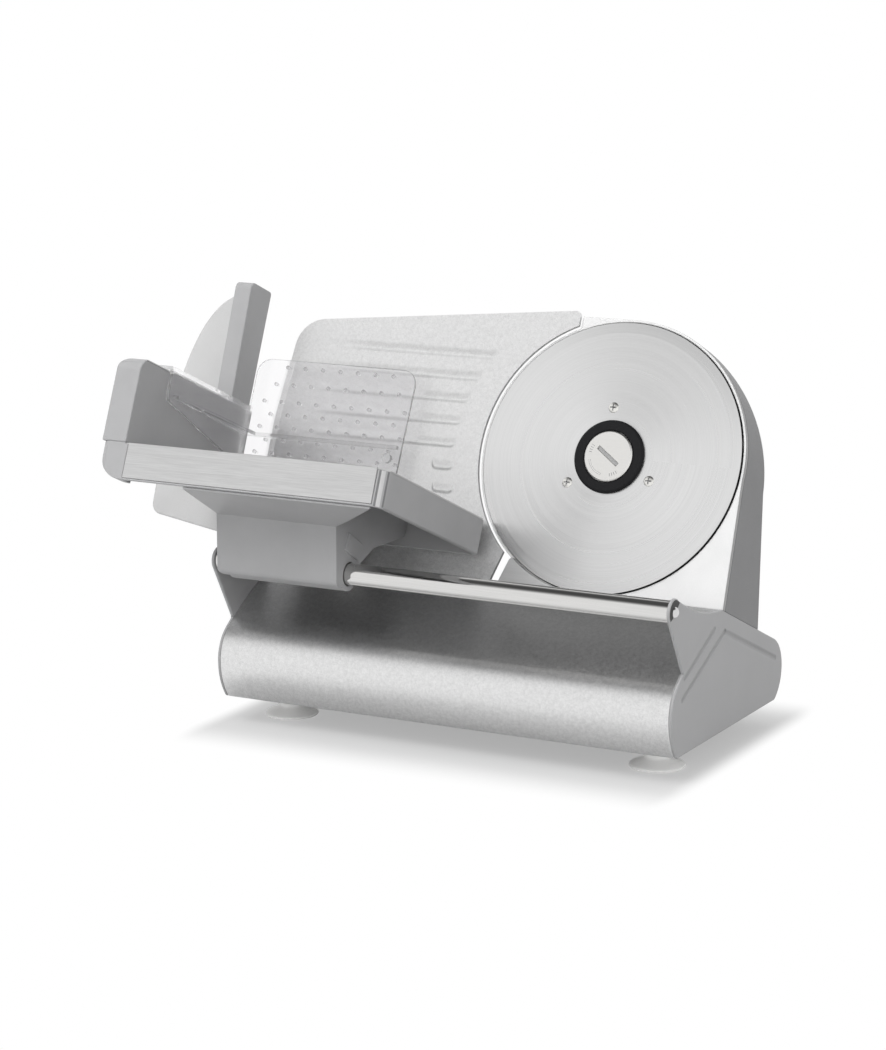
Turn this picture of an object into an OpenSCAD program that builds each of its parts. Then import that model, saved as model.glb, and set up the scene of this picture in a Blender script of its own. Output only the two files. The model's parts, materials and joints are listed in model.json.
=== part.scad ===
// Deli meat slicer: tilted blade and gauge plate on a wedge base, with a hand carriage on a slide rod.
// Millimetres, +X to the right along the slide rod, +Y to the back, +Z up.
// The origin is on the table, under the middle of the whole part's box.

/* [Base] */
// Length over the outer faces of the two end caps
base_len = 397; // [390:1:430]
// Thickness of an end cap and of its horn
cap_t = 2.6; // [2.2:0.1:4]
// Height of the underside of the base above the table
base_z = 21; // [18:0.5:24]
// Thickness of the stainless wrap sheet
sheet_t = 1.5; // [1:0.1:2.5]
// Thickness of the bottom plate
bottom_t = 2; // [1.5:0.1:3]
// Y of the front-most line of the nose
nose_y = -110.2; // [-114:0.2:-107]
// Height of the front-most line of the nose
nose_z = 52.4; // [50:0.2:55]
// Radius of the nose below its front-most line
nose_r_low = 49; // [44:0.5:56]
// Radius of the nose above its front-most line
nose_r_up = 32; // [30:0.5:34]
// Slope of the base top where the nose ends, in degrees
front_slope = 36; // [34:0.5:38]
// Radius of the gently domed base top, from the nose to the ridge
top_r = 280; // [250:5:320]
// Radius of the rounded rear
rear_r = 28.5; // [27.5:0.5:30]
// Y of the centre of the rounded rear
rear_y = 81.3; // [79:0.1:84]
// Height of the centre of the rounded rear
rear_z = 46; // [45.4:0.1:46.5]
// Width of the line pressed into an end cap
groove_w = 1.4; // [1:0.1:2]
// Depth of the line pressed into an end cap
groove_d = 0.8; // [0.4:0.1:1.2]

/* [Slide rod] */
// Diameter of the slide rod
rod_d = 17.3; // [15:0.1:18]
// Y of the rod's axis
rod_y = -107; // [-109:0.5:-105]
// Height of the rod's axis
rod_z = 135.5; // [134:0.5:138]
// Radius of the end cap's horn around the rod
horn_r = 10.5; // [10:0.1:12]
// Diameter of the screw that holds each end of the rod
rod_screw_d = 6; // [5:0.5:8]
// Diameter of that screw's domed head
rod_head_d = 9; // [8:0.5:11]
// Height of that screw's domed head
rod_head_h = 3; // [2:0.5:4]

/* [Feet] */
// Diameter of a suction foot at the table
foot_d = 44; // [40:1:48]
// Diameter of a foot's stem
foot_stem_d = 20; // [16:1:22]
// Distance of the front feet from the base's ends
foot_x = 35.8; // [32.5:0.1:44]
// Distance of the rear feet from the base's ends
foot_rear_x = 63.5; // [38:0.5:74]
// Distance of the feet from the middle, along Y
foot_y = 54.7; // [50:0.5:58]
// Diameter of the stud on top of a foot
stud_d = 8; // [6:0.5:10]
// Width across the flats of the nut on a foot's stud
foot_nut_af = 13; // [12:0.5:15]

/* [Blade] */
// Lean of the blade, gauge plate and tray, in degrees
tilt = 23; // [21:0.5:25]
// Diameter of the blade
blade_d = 220; // [216:1:222]
// Thickness of the blade
blade_t = 2; // [1.6:0.1:2.4]
// Width of the ground bevel
bevel_w = 8.5; // [6:0.5:12]
// Distance of the blade's centre from the base's right end
blade_x = 116.5; // [114.5:0.5:118.5]
// Y of the blade's centre
blade_y = 27.2; // [25:0.2:29]
// Height of the blade's centre
blade_z = 220.3; // [219:0.5:223]
// Diameter of the black hub ring
hub_d = 59.4; // [56:0.2:62]
// Height of the hub ring on the blade
hub_h = 3.2; // [2:0.2:3.6]
// Diameter of the quarter-turn blade lock
lock_d = 41.2; // [38:0.2:44]
// Height of the blade lock on the blade
lock_h = 4.2; // [3:0.2:4.6]
// Width of the coin slot in the lock
coin_w = 3; // [2:0.2:4]
// Length of the coin slot in the lock
coin_len = 23; // [18:0.5:28]
// Radius of the blade screws' circle
screw_pcd_r = 40.2; // [38:0.2:42]
// Head diameter of a blade screw
blade_head_d = 8.6; // [7:0.2:9.6]
// Shank diameter of a blade screw
blade_shank_d = 4; // [3:0.5:5]
// Radius of the flange behind the blade
flange_r = 47; // [45:0.5:50]

/* [Housing] */
// Width of the rim around the blade
rim_w = 3; // [2.4:0.2:4]
// Radial gap between the blade's edge and the rim
rim_gap = 0.8; // [0.5:0.1:1.2]
// Distance of the rim's face behind the blade's face
rim_back = 3; // [2.4:0.2:3.6]
// Distance of the front plate's back behind the blade's face
dish_t = 8; // [7:0.5:10]
// Depth of the recess's floor behind the blade's face
dish_depth = 6; // [5.8:0.1:6.6]
// Depth of the housing behind the blade, at its centre
drum_depth = 49; // [48:0.5:52]
// Lean of the housing's back against the blade, in degrees
back_lean = 16.5; // [16:0.5:18]
// Wall of the housing
drum_wall = 3; // [2:0.2:4]
// Radius of the round rear cover
cover_r = 54; // [52:0.5:58]
// Height of the rear cover
cover_h = 21; // [20:0.5:26]
// Wall of the rear cover
cover_wall = 2.5; // [2:0.1:3]
// Thickness of the lower guard
guard_t = 1.5; // [1:0.1:2]

/* [Drive] */
// Teeth on the worm wheel
wheel_teeth = 44; // [40:1:46]
// Module of the worm wheel
gear_module = 1.25; // [1.15:0.05:1.3]
// Pitch radius of the worm
worm_r = 7; // [6.8:0.1:7.4]
// Distance of the worm wheel's middle behind the blade
wheel_back = 33.5; // [33:0.1:34]
// Face width of the worm wheel
wheel_w = 8; // [6:0.5:9]
// Diameter of the blade shaft
shaft_d = 12; // [10:0.5:13]
// Radius of the motor
motor_r = 21; // [20:0.2:21.6]
// Length of the motor's can
motor_len = 48; // [44:1:52]
// Diameter of the motor's shaft
motor_shaft_d = 8; // [6:0.5:8.5]

/* [Gauge plate] */
// Thickness of the gauge plate
gauge_t = 3; // [2.5:0.1:4]
// Gap between the housing's rim and the gauge plate
gauge_gap = 1.5; // [1:0.1:2.5]
// Reach of the gauge plate to the left of the blade's centre, at its foot
gauge_left = 308; // [302:1:312]
// Height of a ridge on the gauge plate
ridge_h = 0.8; // [0.5:0.1:1.2]
// Width of a ridge
ridge_w = 5; // [4:0.5:6]
// Spacing of the ridges
ridge_pitch = 18.8; // [17:0.2:20]
// Thickest slice, the gauge plate's travel
slice_max = 15; // [10:0.5:16]
// Distance of the thickness screw and knob to the left of the blade's centre
knob_x = 192; // [182:1:202]
// Diameter of the thickness knob
knob_d = 40; // [36:1:42]
// Length of the thickness knob
knob_h = 22; // [18:1:26]
// Diameter of the thickness screw
lead_d = 10; // [8:0.5:12]
// Diameter of a guide rod
guide_d = 8; // [6:0.5:10]
// Distance of the guide rods from the thickness screw
guide_dx = 35; // [30:1:40]

/* [Carriage] */
// Distance from the column's left side to the tray's right side
tray_right = 174.8; // [171:0.2:177]
// Reach of the left wall's outer face to the left of the column
wall_left = 80; // [77:0.5:83]
// Thickness of the left wall
wall_t = 22; // [18:0.5:24]
// Level of the tray below the blade's centre, along the blade
tray_drop = 61.4; // [60:0.2:64]
// Length of the tray's front, measured from the blade
tray_front = 184; // [178:0.5:190]
// Gap between the tray and the blade
tray_back = 8; // [7.6:0.1:10]
// Height of the tray's sides
tray_h = 30; // [28.6:0.2:32]
// Wall of the tray frame
frame_wall = 3; // [2.5:0.1:3.5]
// Thickness of the tray's steel sheet
tray_t = 1.2; // [0.8:0.1:1.6]
// Height of the steel strip on the tray's front
strip_h = 28.1; // [26:0.1:28.5]
// Height of the left wall above the tray
wall_h = 69.4; // [66:0.2:72]
// Height of the pillar above the tray
pillar_h = 172.5; // [165:0.5:175]
// Thickness of the pillar
pillar_t = 15.5; // [12:0.5:17]
// Thickness of the hand guard
hand_t = 3; // [2:0.1:3.4]
// Reach of the hand guard to the left of the column
hand_left = 137.5; // [132.5:0.5:142.5]
// Distance of the column's left side from the base's left end at rest
column_left = 11.5; // [11.3:0.1:14.5]
// Width of the column
column_w = 108.5; // [100:0.5:112]
// How far the column stands in front of the rod's axis
column_front = 20; // [19:0.2:22]
// Wall of the column
column_wall = 4; // [3:0.5:5]
// Length of a bush on the rod
bush_len = 26; // [18:1:30]
// Wall of a bush
bush_wall = 3.2; // [2.5:0.1:3.6]

/* [Pusher] */
// Width of the pusher's nubbed plate
pusher_w = 150; // [140:1:160]
// Height of the pusher's nubbed plate
pusher_h = 114; // [105:1:120]
// Thickness of the pusher's walls
pusher_t = 3; // [2.5:0.1:3.5]
// Length of the pusher's hook along the left wall
hook_len = 97; // [80:1:100]

/* [Switch and cord] */
// Width of the rocker
rocker_w = 13; // [10:0.5:16]
// Height of the rocker
rocker_h = 20; // [16:0.5:24]
// Swing of the rocker, in degrees
rocker_swing = 16; // [10:1:20]
// Distance of the cord gland from the base's right end
gland_x = 58.5; // [48.5:0.5:78.5]
// Diameter of the cord that the gland takes
cord_d = 7.5; // [6:0.5:8]

/* [Fits] */
// Gap around a pin or screw in its hole
pin_gap = 0.05; // [0.03:0.01:0.08]
// Gap between pieces that slide past each other
slide_gap = 0.4; // [0.3:0.05:0.5]

/* [Hidden] */

$fn = 96;
eps = 0.01;
far = 600;

// Places along the rod, from the base's ends and from the column and the blade
blade_cx = base_len / 2 - blade_x;
gland_cx = base_len / 2 - gland_x;
front_foot_x = base_len / 2 - foot_x;
rear_foot_x = base_len / 2 - foot_rear_x;
gauge_end = blade_cx - gauge_left;
knob_cx = blade_cx - knob_x;
column_x = column_left - base_len / 2;
tray_end = column_x + tray_right;
wall_out = column_x - wall_left;
hand_out = column_x - hand_left;

// Base profile, as [y, z]
shell_x = base_len / 2 - cap_t;
nose_up = [nose_y + nose_r_up, nose_z];
nose_low = [nose_y + nose_r_low, nose_z];
rear_c = [rear_y, rear_z];
function front_tangent(inset) = nose_up + (nose_r_up - inset) * [-sin(front_slope), cos(front_slope)];
function rear_tangent(inset) = rear_c + (rear_r - inset) * [sin(tilt), cos(tilt)];
// Centre of the domed top, which runs on from the nose without a corner
top_c = nose_up + (nose_r_up - top_r) * [-sin(front_slope), cos(front_slope)];
// Ridge: where the domed top meets the straight rear slope
function ridge(inset) =
    let (n = [sin(tilt), cos(tilt)], along = [cos(tilt), -sin(tilt)])
    let (d = (rear_c - top_c) * n + rear_r - inset, r = top_r - inset)
    top_c + d * n - sqrt(r * r - d * d) * along;
function slope_z(y) = top_c.y + sqrt(top_r * top_r - (y - top_c.x) * (y - top_c.x));

// Tilted frame: x along the rod, v up along the blade, w out of the blade towards the front
base_v = (rear_y - blade_y) * sin(tilt) + (rear_z - blade_z) * cos(tilt) + rear_r;
function world_yz(w, v) =
    [blade_y - w * cos(tilt) + v * sin(tilt), blade_z + w * sin(tilt) + v * cos(tilt)];

// Housing and blade
rim_in = blade_d / 2 + rim_gap;
housing_r = blade_d / 2 + rim_w;
ear_x = -46.5;
body_right = 115.5;
body_left = -76;
lock_gap = 0.3;
stub_d = 12;
stub_gap = 0.3;
flange_back = dish_depth - 0.5;
hub_tube_r = 14;
hub_hole_r = hub_tube_r + 4;
hub_tube_back = dish_t + 6;

// Worm drive
wheel_r = wheel_teeth * gear_module / 2;
worm_v = -(wheel_r + worm_r);
worm_len = 26;
worm_turns = worm_len / (PI * gear_module);
case_r = wheel_r + gear_module + 5.25;
case_wall = 3.5;
case_front = dish_t + 4;
case_back = wheel_back + wheel_w / 2 + 8;
tunnel_r = worm_r + 6;
tunnel_in = case_r;
front_bearing_w = 10;
front_bearing_at = hub_tube_back + 2;
front_bearing_r = 16;
rear_bearing_w = 8;
rear_bearing_r = 14;
motor_x = tunnel_in;
motor_wall = 2.5;
motor_bearing_w = 5;
motor_bearing_r = motor_shaft_d / 2 + 4;
bell_len = 14;
rotor_r = 12;
rotor_gap = 0.6;
commutator_r = 8;

// Gauge plate and its guide
gauge_arc = housing_r + gauge_gap;
gauge_foot_v = base_v + 0.5;
gauge_right = blade_cx + ear_x - 0.9;
bracket_len = 38;
lead_v = base_v + knob_d / 2 + 2.3;
block_t = 11.6;
block_w = 95.6;
knob_w = block_w + slide_gap;
rod_front = gauge_t + slice_max + 2.4;

// Carriage levels in the tilted frame
tray_v = -tray_drop;
frame_top = tray_v - tray_t;
frame_bottom = tray_v - tray_h;
deck_under = frame_top - frame_wall - 0.4;
wall_in = wall_out + wall_t;
wall_top = tray_v + wall_h;
pillar_top = tray_v + pillar_h;
pillar_w = 30;
pillar_in = 3;
strip_left = wall_in + 3.1;
strip_right = tray_end - 7.6;
column_right = column_x + column_w;
skirt_drop = 8;
bush_r = rod_d / 2 + bush_wall;
// Setback of the bushes from the column's left and right sides, and the rod's clearance there
bush_in = 6;
bush_lip = 3;
rod_mouth = 0.8;
leg_x = column_x + 45;
leg_w = 24;
leg_y = -38;
leg_d = 16;
shoe_t = 5;
hand_back = tray_back - slide_gap - hand_t - 0.1;

// Pusher
pusher_back = tray_back + 2;
pusher_left = wall_in + slide_gap;
pusher_foot = tray_v + 1;
hook_back = tray_back + pillar_w + 8;
hook_front = hook_back + hook_len;
ledge_v = pusher_foot + 50;

// Switch, placed on the housing's back
switch_x = -40;
switch_y = -70;
switch_depth = 16;
bezel = 3.2;
rocker_pivot = 2.2;
trunnion_r = 1.5;
trunnion_len = 1.9;

// Cord gland
gland_out = 11;

// Middle of the whole part, which stands over the origin
mid_x = (hand_out + base_len / 2 + rod_head_h) / 2;
mid_y = (world_yz(tray_front, frame_bottom).x + rear_y + rear_r + gland_out) / 2;

// Corner of an outline: p with its neighbours a and b, rounded to radius r
function unit(v) = v / norm(v);
function corner_arc(p, a, b, r, n = 10) =
    let (u = unit(a - p), w = unit(b - p), half = acos(u * w) / 2)
    let (c = p + unit(u + w) * r / sin(half), t1 = p + u * r / tan(half), t2 = p + w * r / tan(half))
    let (a1 = atan2(t1.y - c.y, t1.x - c.x), a2 = atan2(t2.y - c.y, t2.x - c.x))
    let (turn = (a2 - a1 + 540) % 360 - 180)
    [for (i = [0:n]) c + r * [cos(a1 + turn * i / n), sin(a1 + turn * i / n)]];
// Outline from [x, y, radius] points
function rounded(pts) =
    let (n = len(pts), xy = [for (q = pts) [q.x, q.y]])
    [for (i = [0:n - 1])
        each pts[i].z > 0
            ? corner_arc(xy[i], xy[(i + n - 1) % n], xy[(i + 1) % n], pts[i].z)
            : [xy[i]]];
// Quadratic curve from a to b, drawn towards the control point m
function curve(a, m, b, n = 14) =
    [for (i = [0:n]) let (t = i / n) (1 - t) * (1 - t) * a + 2 * t * (1 - t) * m + t * t * b];

// Frames
module placed() { translate([-mid_x, -mid_y, 0]) children(); }
module blade_frame() { translate([blade_cx, blade_y, blade_z]) rotate([90 - tilt, 0, 0]) children(); }
module feed_frame() { translate([0, blade_y, blade_z]) rotate([90 - tilt, 0, 0]) children(); }
module back_frame() { blade_frame() translate([0, 0, -drum_depth]) rotate([back_lean, 0, 0]) children(); }
// Extrude a [y, z] outline along X, from x
module along_x(x, length) { translate([x, 0, 0]) rotate([90, 0, 90]) linear_extrude(length) children(); }
// Inside feed_frame: extrude a [w, v] outline towards -X, from x
module side_cut(x, length) { translate([x, 0, 0]) rotate([0, -90, 0]) linear_extrude(length) children(); }
// Inside feed_frame: extrude an [x, w] outline down from the level v
module deck(v, height) { translate([0, v, 0]) rotate([90, 0, 0]) linear_extrude(height) children(); }
// Inside a tilted frame: extrude an [x, v] outline between two distances w
module slab(w0, w1) { translate([0, 0, w0]) linear_extrude(w1 - w0) children(); }
// Round bar along X, in any frame
module bar_x(x, length, r) { translate([x, 0, 0]) rotate([0, 90, 0]) cylinder(r = r, h = length); }

// Base
// Points on an arc about c from angle a to angle b, without the first one
function arc_pts(c, r, a, b, n) = [for (i = [1:n]) let (t = a + (b - a) * i / n)
    c + r * [cos(t), sin(t)]];
// Base profile drawn in by inset and cut off at the height low
function base_pts(inset, low) =
    let (r1 = nose_r_low - inset, r2 = rear_r - inset, top = ridge(inset) - top_c)
    let (chin = 180 + asin((nose_z - low) / r1), drop = (rear_z - low) / r2)
    let (heel = -asin(min(1, drop)))
    concat([nose_low + r1 * [cos(chin), sin(chin)]],
        arc_pts(nose_low, r1, chin, 180, 10),
        arc_pts(nose_up, nose_r_up - inset, 180, 90 + front_slope, 14),
        arc_pts(top_c, top_r - inset, 90 + front_slope, atan2(top.y, top.x), 12),
        [rear_tangent(inset)],
        arc_pts(rear_c, r2, 90 - tilt, heel, 20),
        drop > 1 ? [[rear_c.x, low]] : []);
// Solid of that profile between x and x + length
module base_solid(inset, low, x, length) {
    along_x(x, length) polygon(base_pts(inset, low));
}
module base_shell() {
    placed() color("gainsboro") difference() {
        base_solid(0, base_z, -shell_x, 2 * shell_x);
        base_solid(sheet_t, base_z - 1, -shell_x - 1, 2 * shell_x + 2);
        translate([gland_cx, rear_y, rear_z]) rotate([-90, 0, 0])
            cylinder(d = cord_d + 5, h = rear_r + 5);
    }
}
module horn_solid(x, length) {
    tip = [rod_y, rod_z];
    top_lean = 20;
    top = tip + horn_r * [sin(top_lean), cos(top_lean)];
    chin = tip + horn_r * [cos(205), sin(205)];
    notch_y = front_tangent(0).x + 8;
    crest = ridge(0);
    along_x(x, length) polygon(concat([chin, [notch_y, slope_z(notch_y)], [notch_y + nose_r_up, nose_z],
        crest],
        curve(crest, [crest.x - 44, crest.y + 2], top)));
    along_x(x, length) translate(tip) circle(r = horn_r);
}
// Line pressed into a cap's outer face, through [y, z] points
module pressed_line(points) {
    for (i = [0:len(points) - 2]) {
        d = points[i + 1] - points[i];
        translate(points[i]) rotate(atan2(d.y, d.x)) square([norm(d), groove_w]);
    }
}
module end_cap() {
    crest = ridge(0);
    line_y = front_tangent(0).x + 6;
    line_in = 18;
    lip = sheet_t + 0.3;
    lip_depth = 6;
    difference() {
        union() {
            base_solid(0, base_z, shell_x, cap_t);
            horn_solid(shell_x, cap_t);
            // Lip inside the wrap sheet
            difference() {
                base_solid(lip, base_z + bottom_t + 0.3, shell_x - lip_depth, lip_depth + eps);
                base_solid(lip + 2.5, base_z + bottom_t + 2.8, shell_x - lip_depth - 1, lip_depth + 1);
            }
        }
        translate([shell_x - 1, rod_y, rod_z]) rotate([0, 90, 0])
            cylinder(d = rod_screw_d + 2 * pin_gap, h = cap_t + 2);
        along_x(base_len / 2 - groove_d, groove_d + 1) {
            pressed_line([[line_y, slope_z(line_y) - line_in], crest + [6, -line_in], rear_tangent(0)
                + [2, -line_in + 2]]);
            pressed_line([[line_y + 4, slope_z(line_y + 4) - 5], crest + [-14, -12]]);
        }
    }
}
module end_cap_right() { placed() color("darkgray") end_cap(); }
module end_cap_left() { placed() color("darkgray") mirror([1, 0, 0]) end_cap(); }
module foot_places() {
    for (sx = [-1, 1], sy = [-1, 1]) translate([sx * (sy < 0 ? front_foot_x : rear_foot_x), sy * foot_y,
        0]) children();
}
module bottom_plate() {
    edge = sheet_t + 0.3;
    placed() color("dimgray") difference() {
        intersection() {
            base_solid(edge, base_z, -shell_x, 2 * shell_x);
            translate([-far / 2, -far / 2, base_z]) cube([far, far, bottom_t]);
        }
        foot_places() translate([0, 0, base_z - 1]) cylinder(d = stud_d + 2 * pin_gap, h = bottom_t + 2);
    }
}
module slide_rod() {
    reach = shell_x - pin_gap;
    hole = 14;
    placed() color("whitesmoke") translate([0, rod_y, rod_z]) difference() {
        bar_x(-reach, 2 * reach, rod_d / 2);
        bar_x(-reach - 1, hole + 1, rod_screw_d / 2 + pin_gap);
        bar_x(reach - hole, hole + 1, rod_screw_d / 2 + pin_gap);
    }
}
module rod_screws() {
    shank = 12;
    placed() color("silver") for (side = [0, 1]) mirror([side, 0, 0])
        translate([base_len / 2, rod_y, rod_z]) rotate([0, 90, 0]) {
            translate([0, 0, -shank - cap_t]) cylinder(d = rod_screw_d, h = shank + cap_t + eps);
            dome(rod_head_d / 2, rod_head_h);
        }
}
// Low dome of base radius r and height h
module dome(r, h) {
    big = (r * r + h * h) / (2 * h);
    intersection() {
        translate([0, 0, h - big]) sphere(r = big);
        cylinder(r = r, h = h);
    }
}
module foot(sx, sy) {
    cup_h = 6.5;
    rim_h = 1.4;
    r = foot_d / 2;
    s = foot_stem_d / 2;
    reach = base_z + bottom_t + 7;
    placed() color("white") translate([sx * (sy < 0 ? front_foot_x : rear_foot_x), sy * foot_y, 0])
        rotate_extrude()
        polygon([[0, 2], [r - 8, 1.2], [r - 3, 0], [r - 0.6, 0], [r, rim_h], [r - 1.4, rim_h + 1],
            [s + 5, cup_h - 2],
            [s + 1, cup_h], [s, cup_h + 1.5], [s, base_z], [stud_d / 2, base_z], [stud_d / 2, reach],
                [0, reach]]);
}
module foot_front_left() { foot(-1, -1); }
module foot_front_right() { foot(1, -1); }
module foot_rear_left() { foot(-1, 1); }
module foot_rear_right() { foot(1, 1); }
module foot_nuts() {
    placed() color("silver") foot_places() translate([0, 0, base_z + bottom_t]) difference() {
        cylinder(d = foot_nut_af / cos(30), h = 5, $fn = 6);
        translate([0, 0, -1]) cylinder(d = stud_d + 2 * pin_gap, h = 7);
    }
}

// Housing
module housing_solid(inset, w0, w1) {
    low = base_v + 0.15 + inset;
    right = body_right - inset;
    r = housing_r - inset;
    slab(w0, w1) intersection() {
        circle(r = r, $fn = 180);
        translate([-far / 2, low]) square(far);
    }
    slab(w0, w1) polygon([[ear_x + inset, r * 0.8], [ear_x + inset, r], [0, r], [0, 0]]);
    slab(w0, w1) polygon([[right - 3, 0], [right, low], [body_left + inset, low],
        [body_left + 6 + inset, low + 24], [0, 0]]);
}
module front_plate() {
    placed() color("white") blade_frame() difference() {
        union() housing_solid(0, -dish_t, -rim_back);
        translate([0, 0, -dish_depth]) cylinder(r = rim_in, h = dish_depth + 1, $fn = 180);
        translate([0, 0, -dish_t - 1]) cylinder(r = hub_hole_r, h = dish_t + 2);
        guard_pin_places() translate([0, 0, -dish_t - 1]) cylinder(d = 3 + 2 * pin_gap, h = dish_t + 2);
    }
}
// Everything in front of the plane that lies inset before the housing's back
module before_back(inset) {
    translate([0, 0, inset / cos(back_lean) - drum_depth]) rotate([back_lean, 0, 0])
        translate([-far / 2, -far / 2, 0]) cube(far);
}
module drum_housing() {
    placed() color("lightgray") difference() {
        blade_frame() difference() {
            intersection() {
                union() housing_solid(0, -far / 3, -dish_t);
                before_back(0);
            }
            intersection() {
                union() housing_solid(drum_wall, -far / 3, -dish_t + 1);
                before_back(drum_wall);
            }
        }
        back_frame() translate([0, 0, -1]) cylinder(r = cover_r - 7, h = 30, center = true);
        back_frame() translate([switch_x, switch_y, 0])
            cube([rocker_w + 2 * bezel, rocker_h + 2 * bezel, 20], center = true);
    }
}
module rear_cover() {
    edge_r = 7;
    vent_w = 4;
    vent_l = 40;
    r = cover_r;
    h = cover_h;
    t = cover_wall;
    placed() color("lightgray") back_frame() rotate([180, 0, 0]) difference() {
        rotate_extrude() polygon(concat([[r - t, 0], [r, 0]],
            corner_arc([r, h], [r, 0], [0, h], edge_r), [[0, h], [0, h - t]],
            corner_arc([r - t, h - t], [0, h - t], [r - t, 0], edge_r - t)));
        for (i = [-4:4]) translate([i * 2.4 * vent_w, 0, h - t / 2])
            cube([vent_w, vent_l * cos(i * 12), t + 2], center = true);
    }
}
module guard_outline() {
    low = base_v + 0.4;
    left = body_left - 1;
    difference() {
        polygon(rounded([[left, low, 0], [left + 7.5, low + 22, 4], [left + 14, low + 22, 0],
            [-16, low, 0]]));
        circle(r = rim_in + 0.6);
    }
}
module guard_pin_places() {
    for (p = [[body_left + 7, base_v + 6], [body_left + 22, base_v + 5]]) translate(p) children();
}
module lower_guard() {
    placed() color("gainsboro") blade_frame() {
        slab(-rim_back, guard_t) guard_outline();
        guard_pin_places() translate([0, 0, 1 - dish_t]) cylinder(d = 3, h = dish_t - 1 + eps);
    }
}

// Blade and lock
module blade() {
    r = blade_d / 2;
    bore = stub_d / 2 + stub_gap;
    placed() color("silver") blade_frame() difference() {
        rotate_extrude($fn = 180) polygon([[bore, -blade_t], [r - 1, -blade_t], [r, -blade_t + 0.3],
            [r, -blade_t + 0.6], [r - bevel_w, 0], [bore, 0]]);
        blade_screw_places() translate([0, 0, -blade_t - 1])
            cylinder(d = blade_shank_d + 2 * pin_gap, h = blade_t + 2);
    }
}
module blade_screw_places() {
    for (i = [0:2]) rotate(96 + 120 * i) translate([screw_pcd_r, 0, 0]) children();
}
module hub_ring() {
    r = hub_d / 2;
    q = lock_d / 2 + lock_gap;
    placed() color([0.15, 0.15, 0.16]) blade_frame() rotate_extrude()
        polygon([[q, 0], [r, 0], [r, hub_h - 1.2], [r - 1.4, hub_h], [q + 0.6, hub_h], [q, hub_h - 0.6]]);
}
module blade_screws() {
    placed() color("silver") blade_frame() blade_screw_places() {
        translate([0, 0, -dish_depth + 1]) cylinder(d = blade_shank_d, h = dish_depth - 1 + eps);
        dome(blade_head_d / 2, 1.2);
    }
}
module blade_flange() {
    placed() color("darkgray") blade_frame() difference() {
        union() {
            translate([0, 0, -flange_back]) cylinder(r = flange_r, h = flange_back - blade_t);
            translate([0, 0, -hub_tube_back])
                cylinder(r = hub_tube_r, h = hub_tube_back - flange_back + eps);
        }
        translate([0, 0, -flange_back]) cylinder(d = stub_d + 2 * stub_gap, h = flange_back);
        translate([0, 0, -hub_tube_back - 1]) cylinder(d = shaft_d + 2 * pin_gap, h = hub_tube_back);
        blade_screw_places() translate([0, 0, -dish_depth])
            cylinder(d = blade_shank_d + 2 * pin_gap, h = dish_depth);
    }
}
module blade_shaft() {
    back = case_back + 4 + rear_bearing_w + 2;
    placed() color("silver") blade_frame() translate([0, 0, -back])
        cylinder(d = shaft_d, h = back - flange_back - 0.5);
}
module blade_lock() {
    r = lock_d / 2;
    placed() color("gainsboro") blade_frame() difference() {
        union() {
            rotate_extrude() polygon([[0, 0.2], [r, 0.2], [r, lock_h - 1], [r - 1, lock_h], [0, lock_h]]);
            translate([0, 0, 0.5 - flange_back]) cylinder(d = stub_d, h = flange_back);
        }
        rotate(-35) translate([0, 0, lock_h]) cube([coin_len, coin_w, 2.4], center = true);
    }
}

// Drive
module tooth(r_root, r_tip, w_root, w_tip) {
    polygon([[-w_root / 2, r_root - 1], [-w_root / 2, r_root], [-w_tip / 2, r_tip], [w_tip / 2, r_tip],
        [w_root / 2, r_root], [w_root / 2, r_root - 1]]);
}
module worm_wheel() {
    m = gear_module;
    root = wheel_r - 1.3 * m;
    placed() color("ivory") blade_frame() difference() {
        union() {
            slab(-wheel_back - wheel_w / 2, -wheel_back + wheel_w / 2) {
                circle(r = root);
                for (i = [0:wheel_teeth - 1]) rotate(180 + i * 360 / wheel_teeth)
                    tooth(root, wheel_r + 0.8 * m, 1.3 * m, 0.6 * m);
            }
            translate([0, 0, -wheel_back - wheel_w / 2 - 2]) cylinder(r = hub_tube_r, h = wheel_w + 4);
        }
        translate([0, 0, -far / 2]) cylinder(d = shaft_d + 2 * pin_gap, h = far);
        for (i = [0:5]) rotate(30 + 60 * i) translate([wheel_r * 0.74, 0, -wheel_back - wheel_w])
            cylinder(r = 4, h = 2 * wheel_w);
    }
}
// Places a child on the motor's axis, running towards +X from the worm's middle
module motor_axis() { blade_frame() translate([0, worm_v, -wheel_back]) children(); }
module gear_case() {
    hub_r = rear_bearing_r + 4;
    hub_back = case_back + 4 + rear_bearing_w;
    placed() color("silver") difference() {
        union() {
            blade_frame() translate([0, 0, -case_back - 4])
                cylinder(r = case_r, h = case_back + 4 - case_front);
            blade_frame() translate([0, 0, -hub_back]) cylinder(r = hub_r, h = 20);
            motor_axis() bar_x(-worm_len / 2 - 8, tunnel_in + worm_len / 2 + 8, tunnel_r);
        }
        blade_frame() translate([0, 0, -case_back]) cylinder(r = case_r - case_wall, h = case_back);
        blade_frame() translate([0, 0, -hub_back - 1])
            cylinder(r = rear_bearing_r + pin_gap, h = rear_bearing_w + 1);
        blade_frame() translate([0, 0, -hub_back - 1]) cylinder(r = shaft_d / 2 + 1, h = 30);
        motor_axis() bar_x(-worm_len / 2 - 5, tunnel_in + worm_len / 2 + 6, tunnel_r - 3.5);
    }
}
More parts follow.
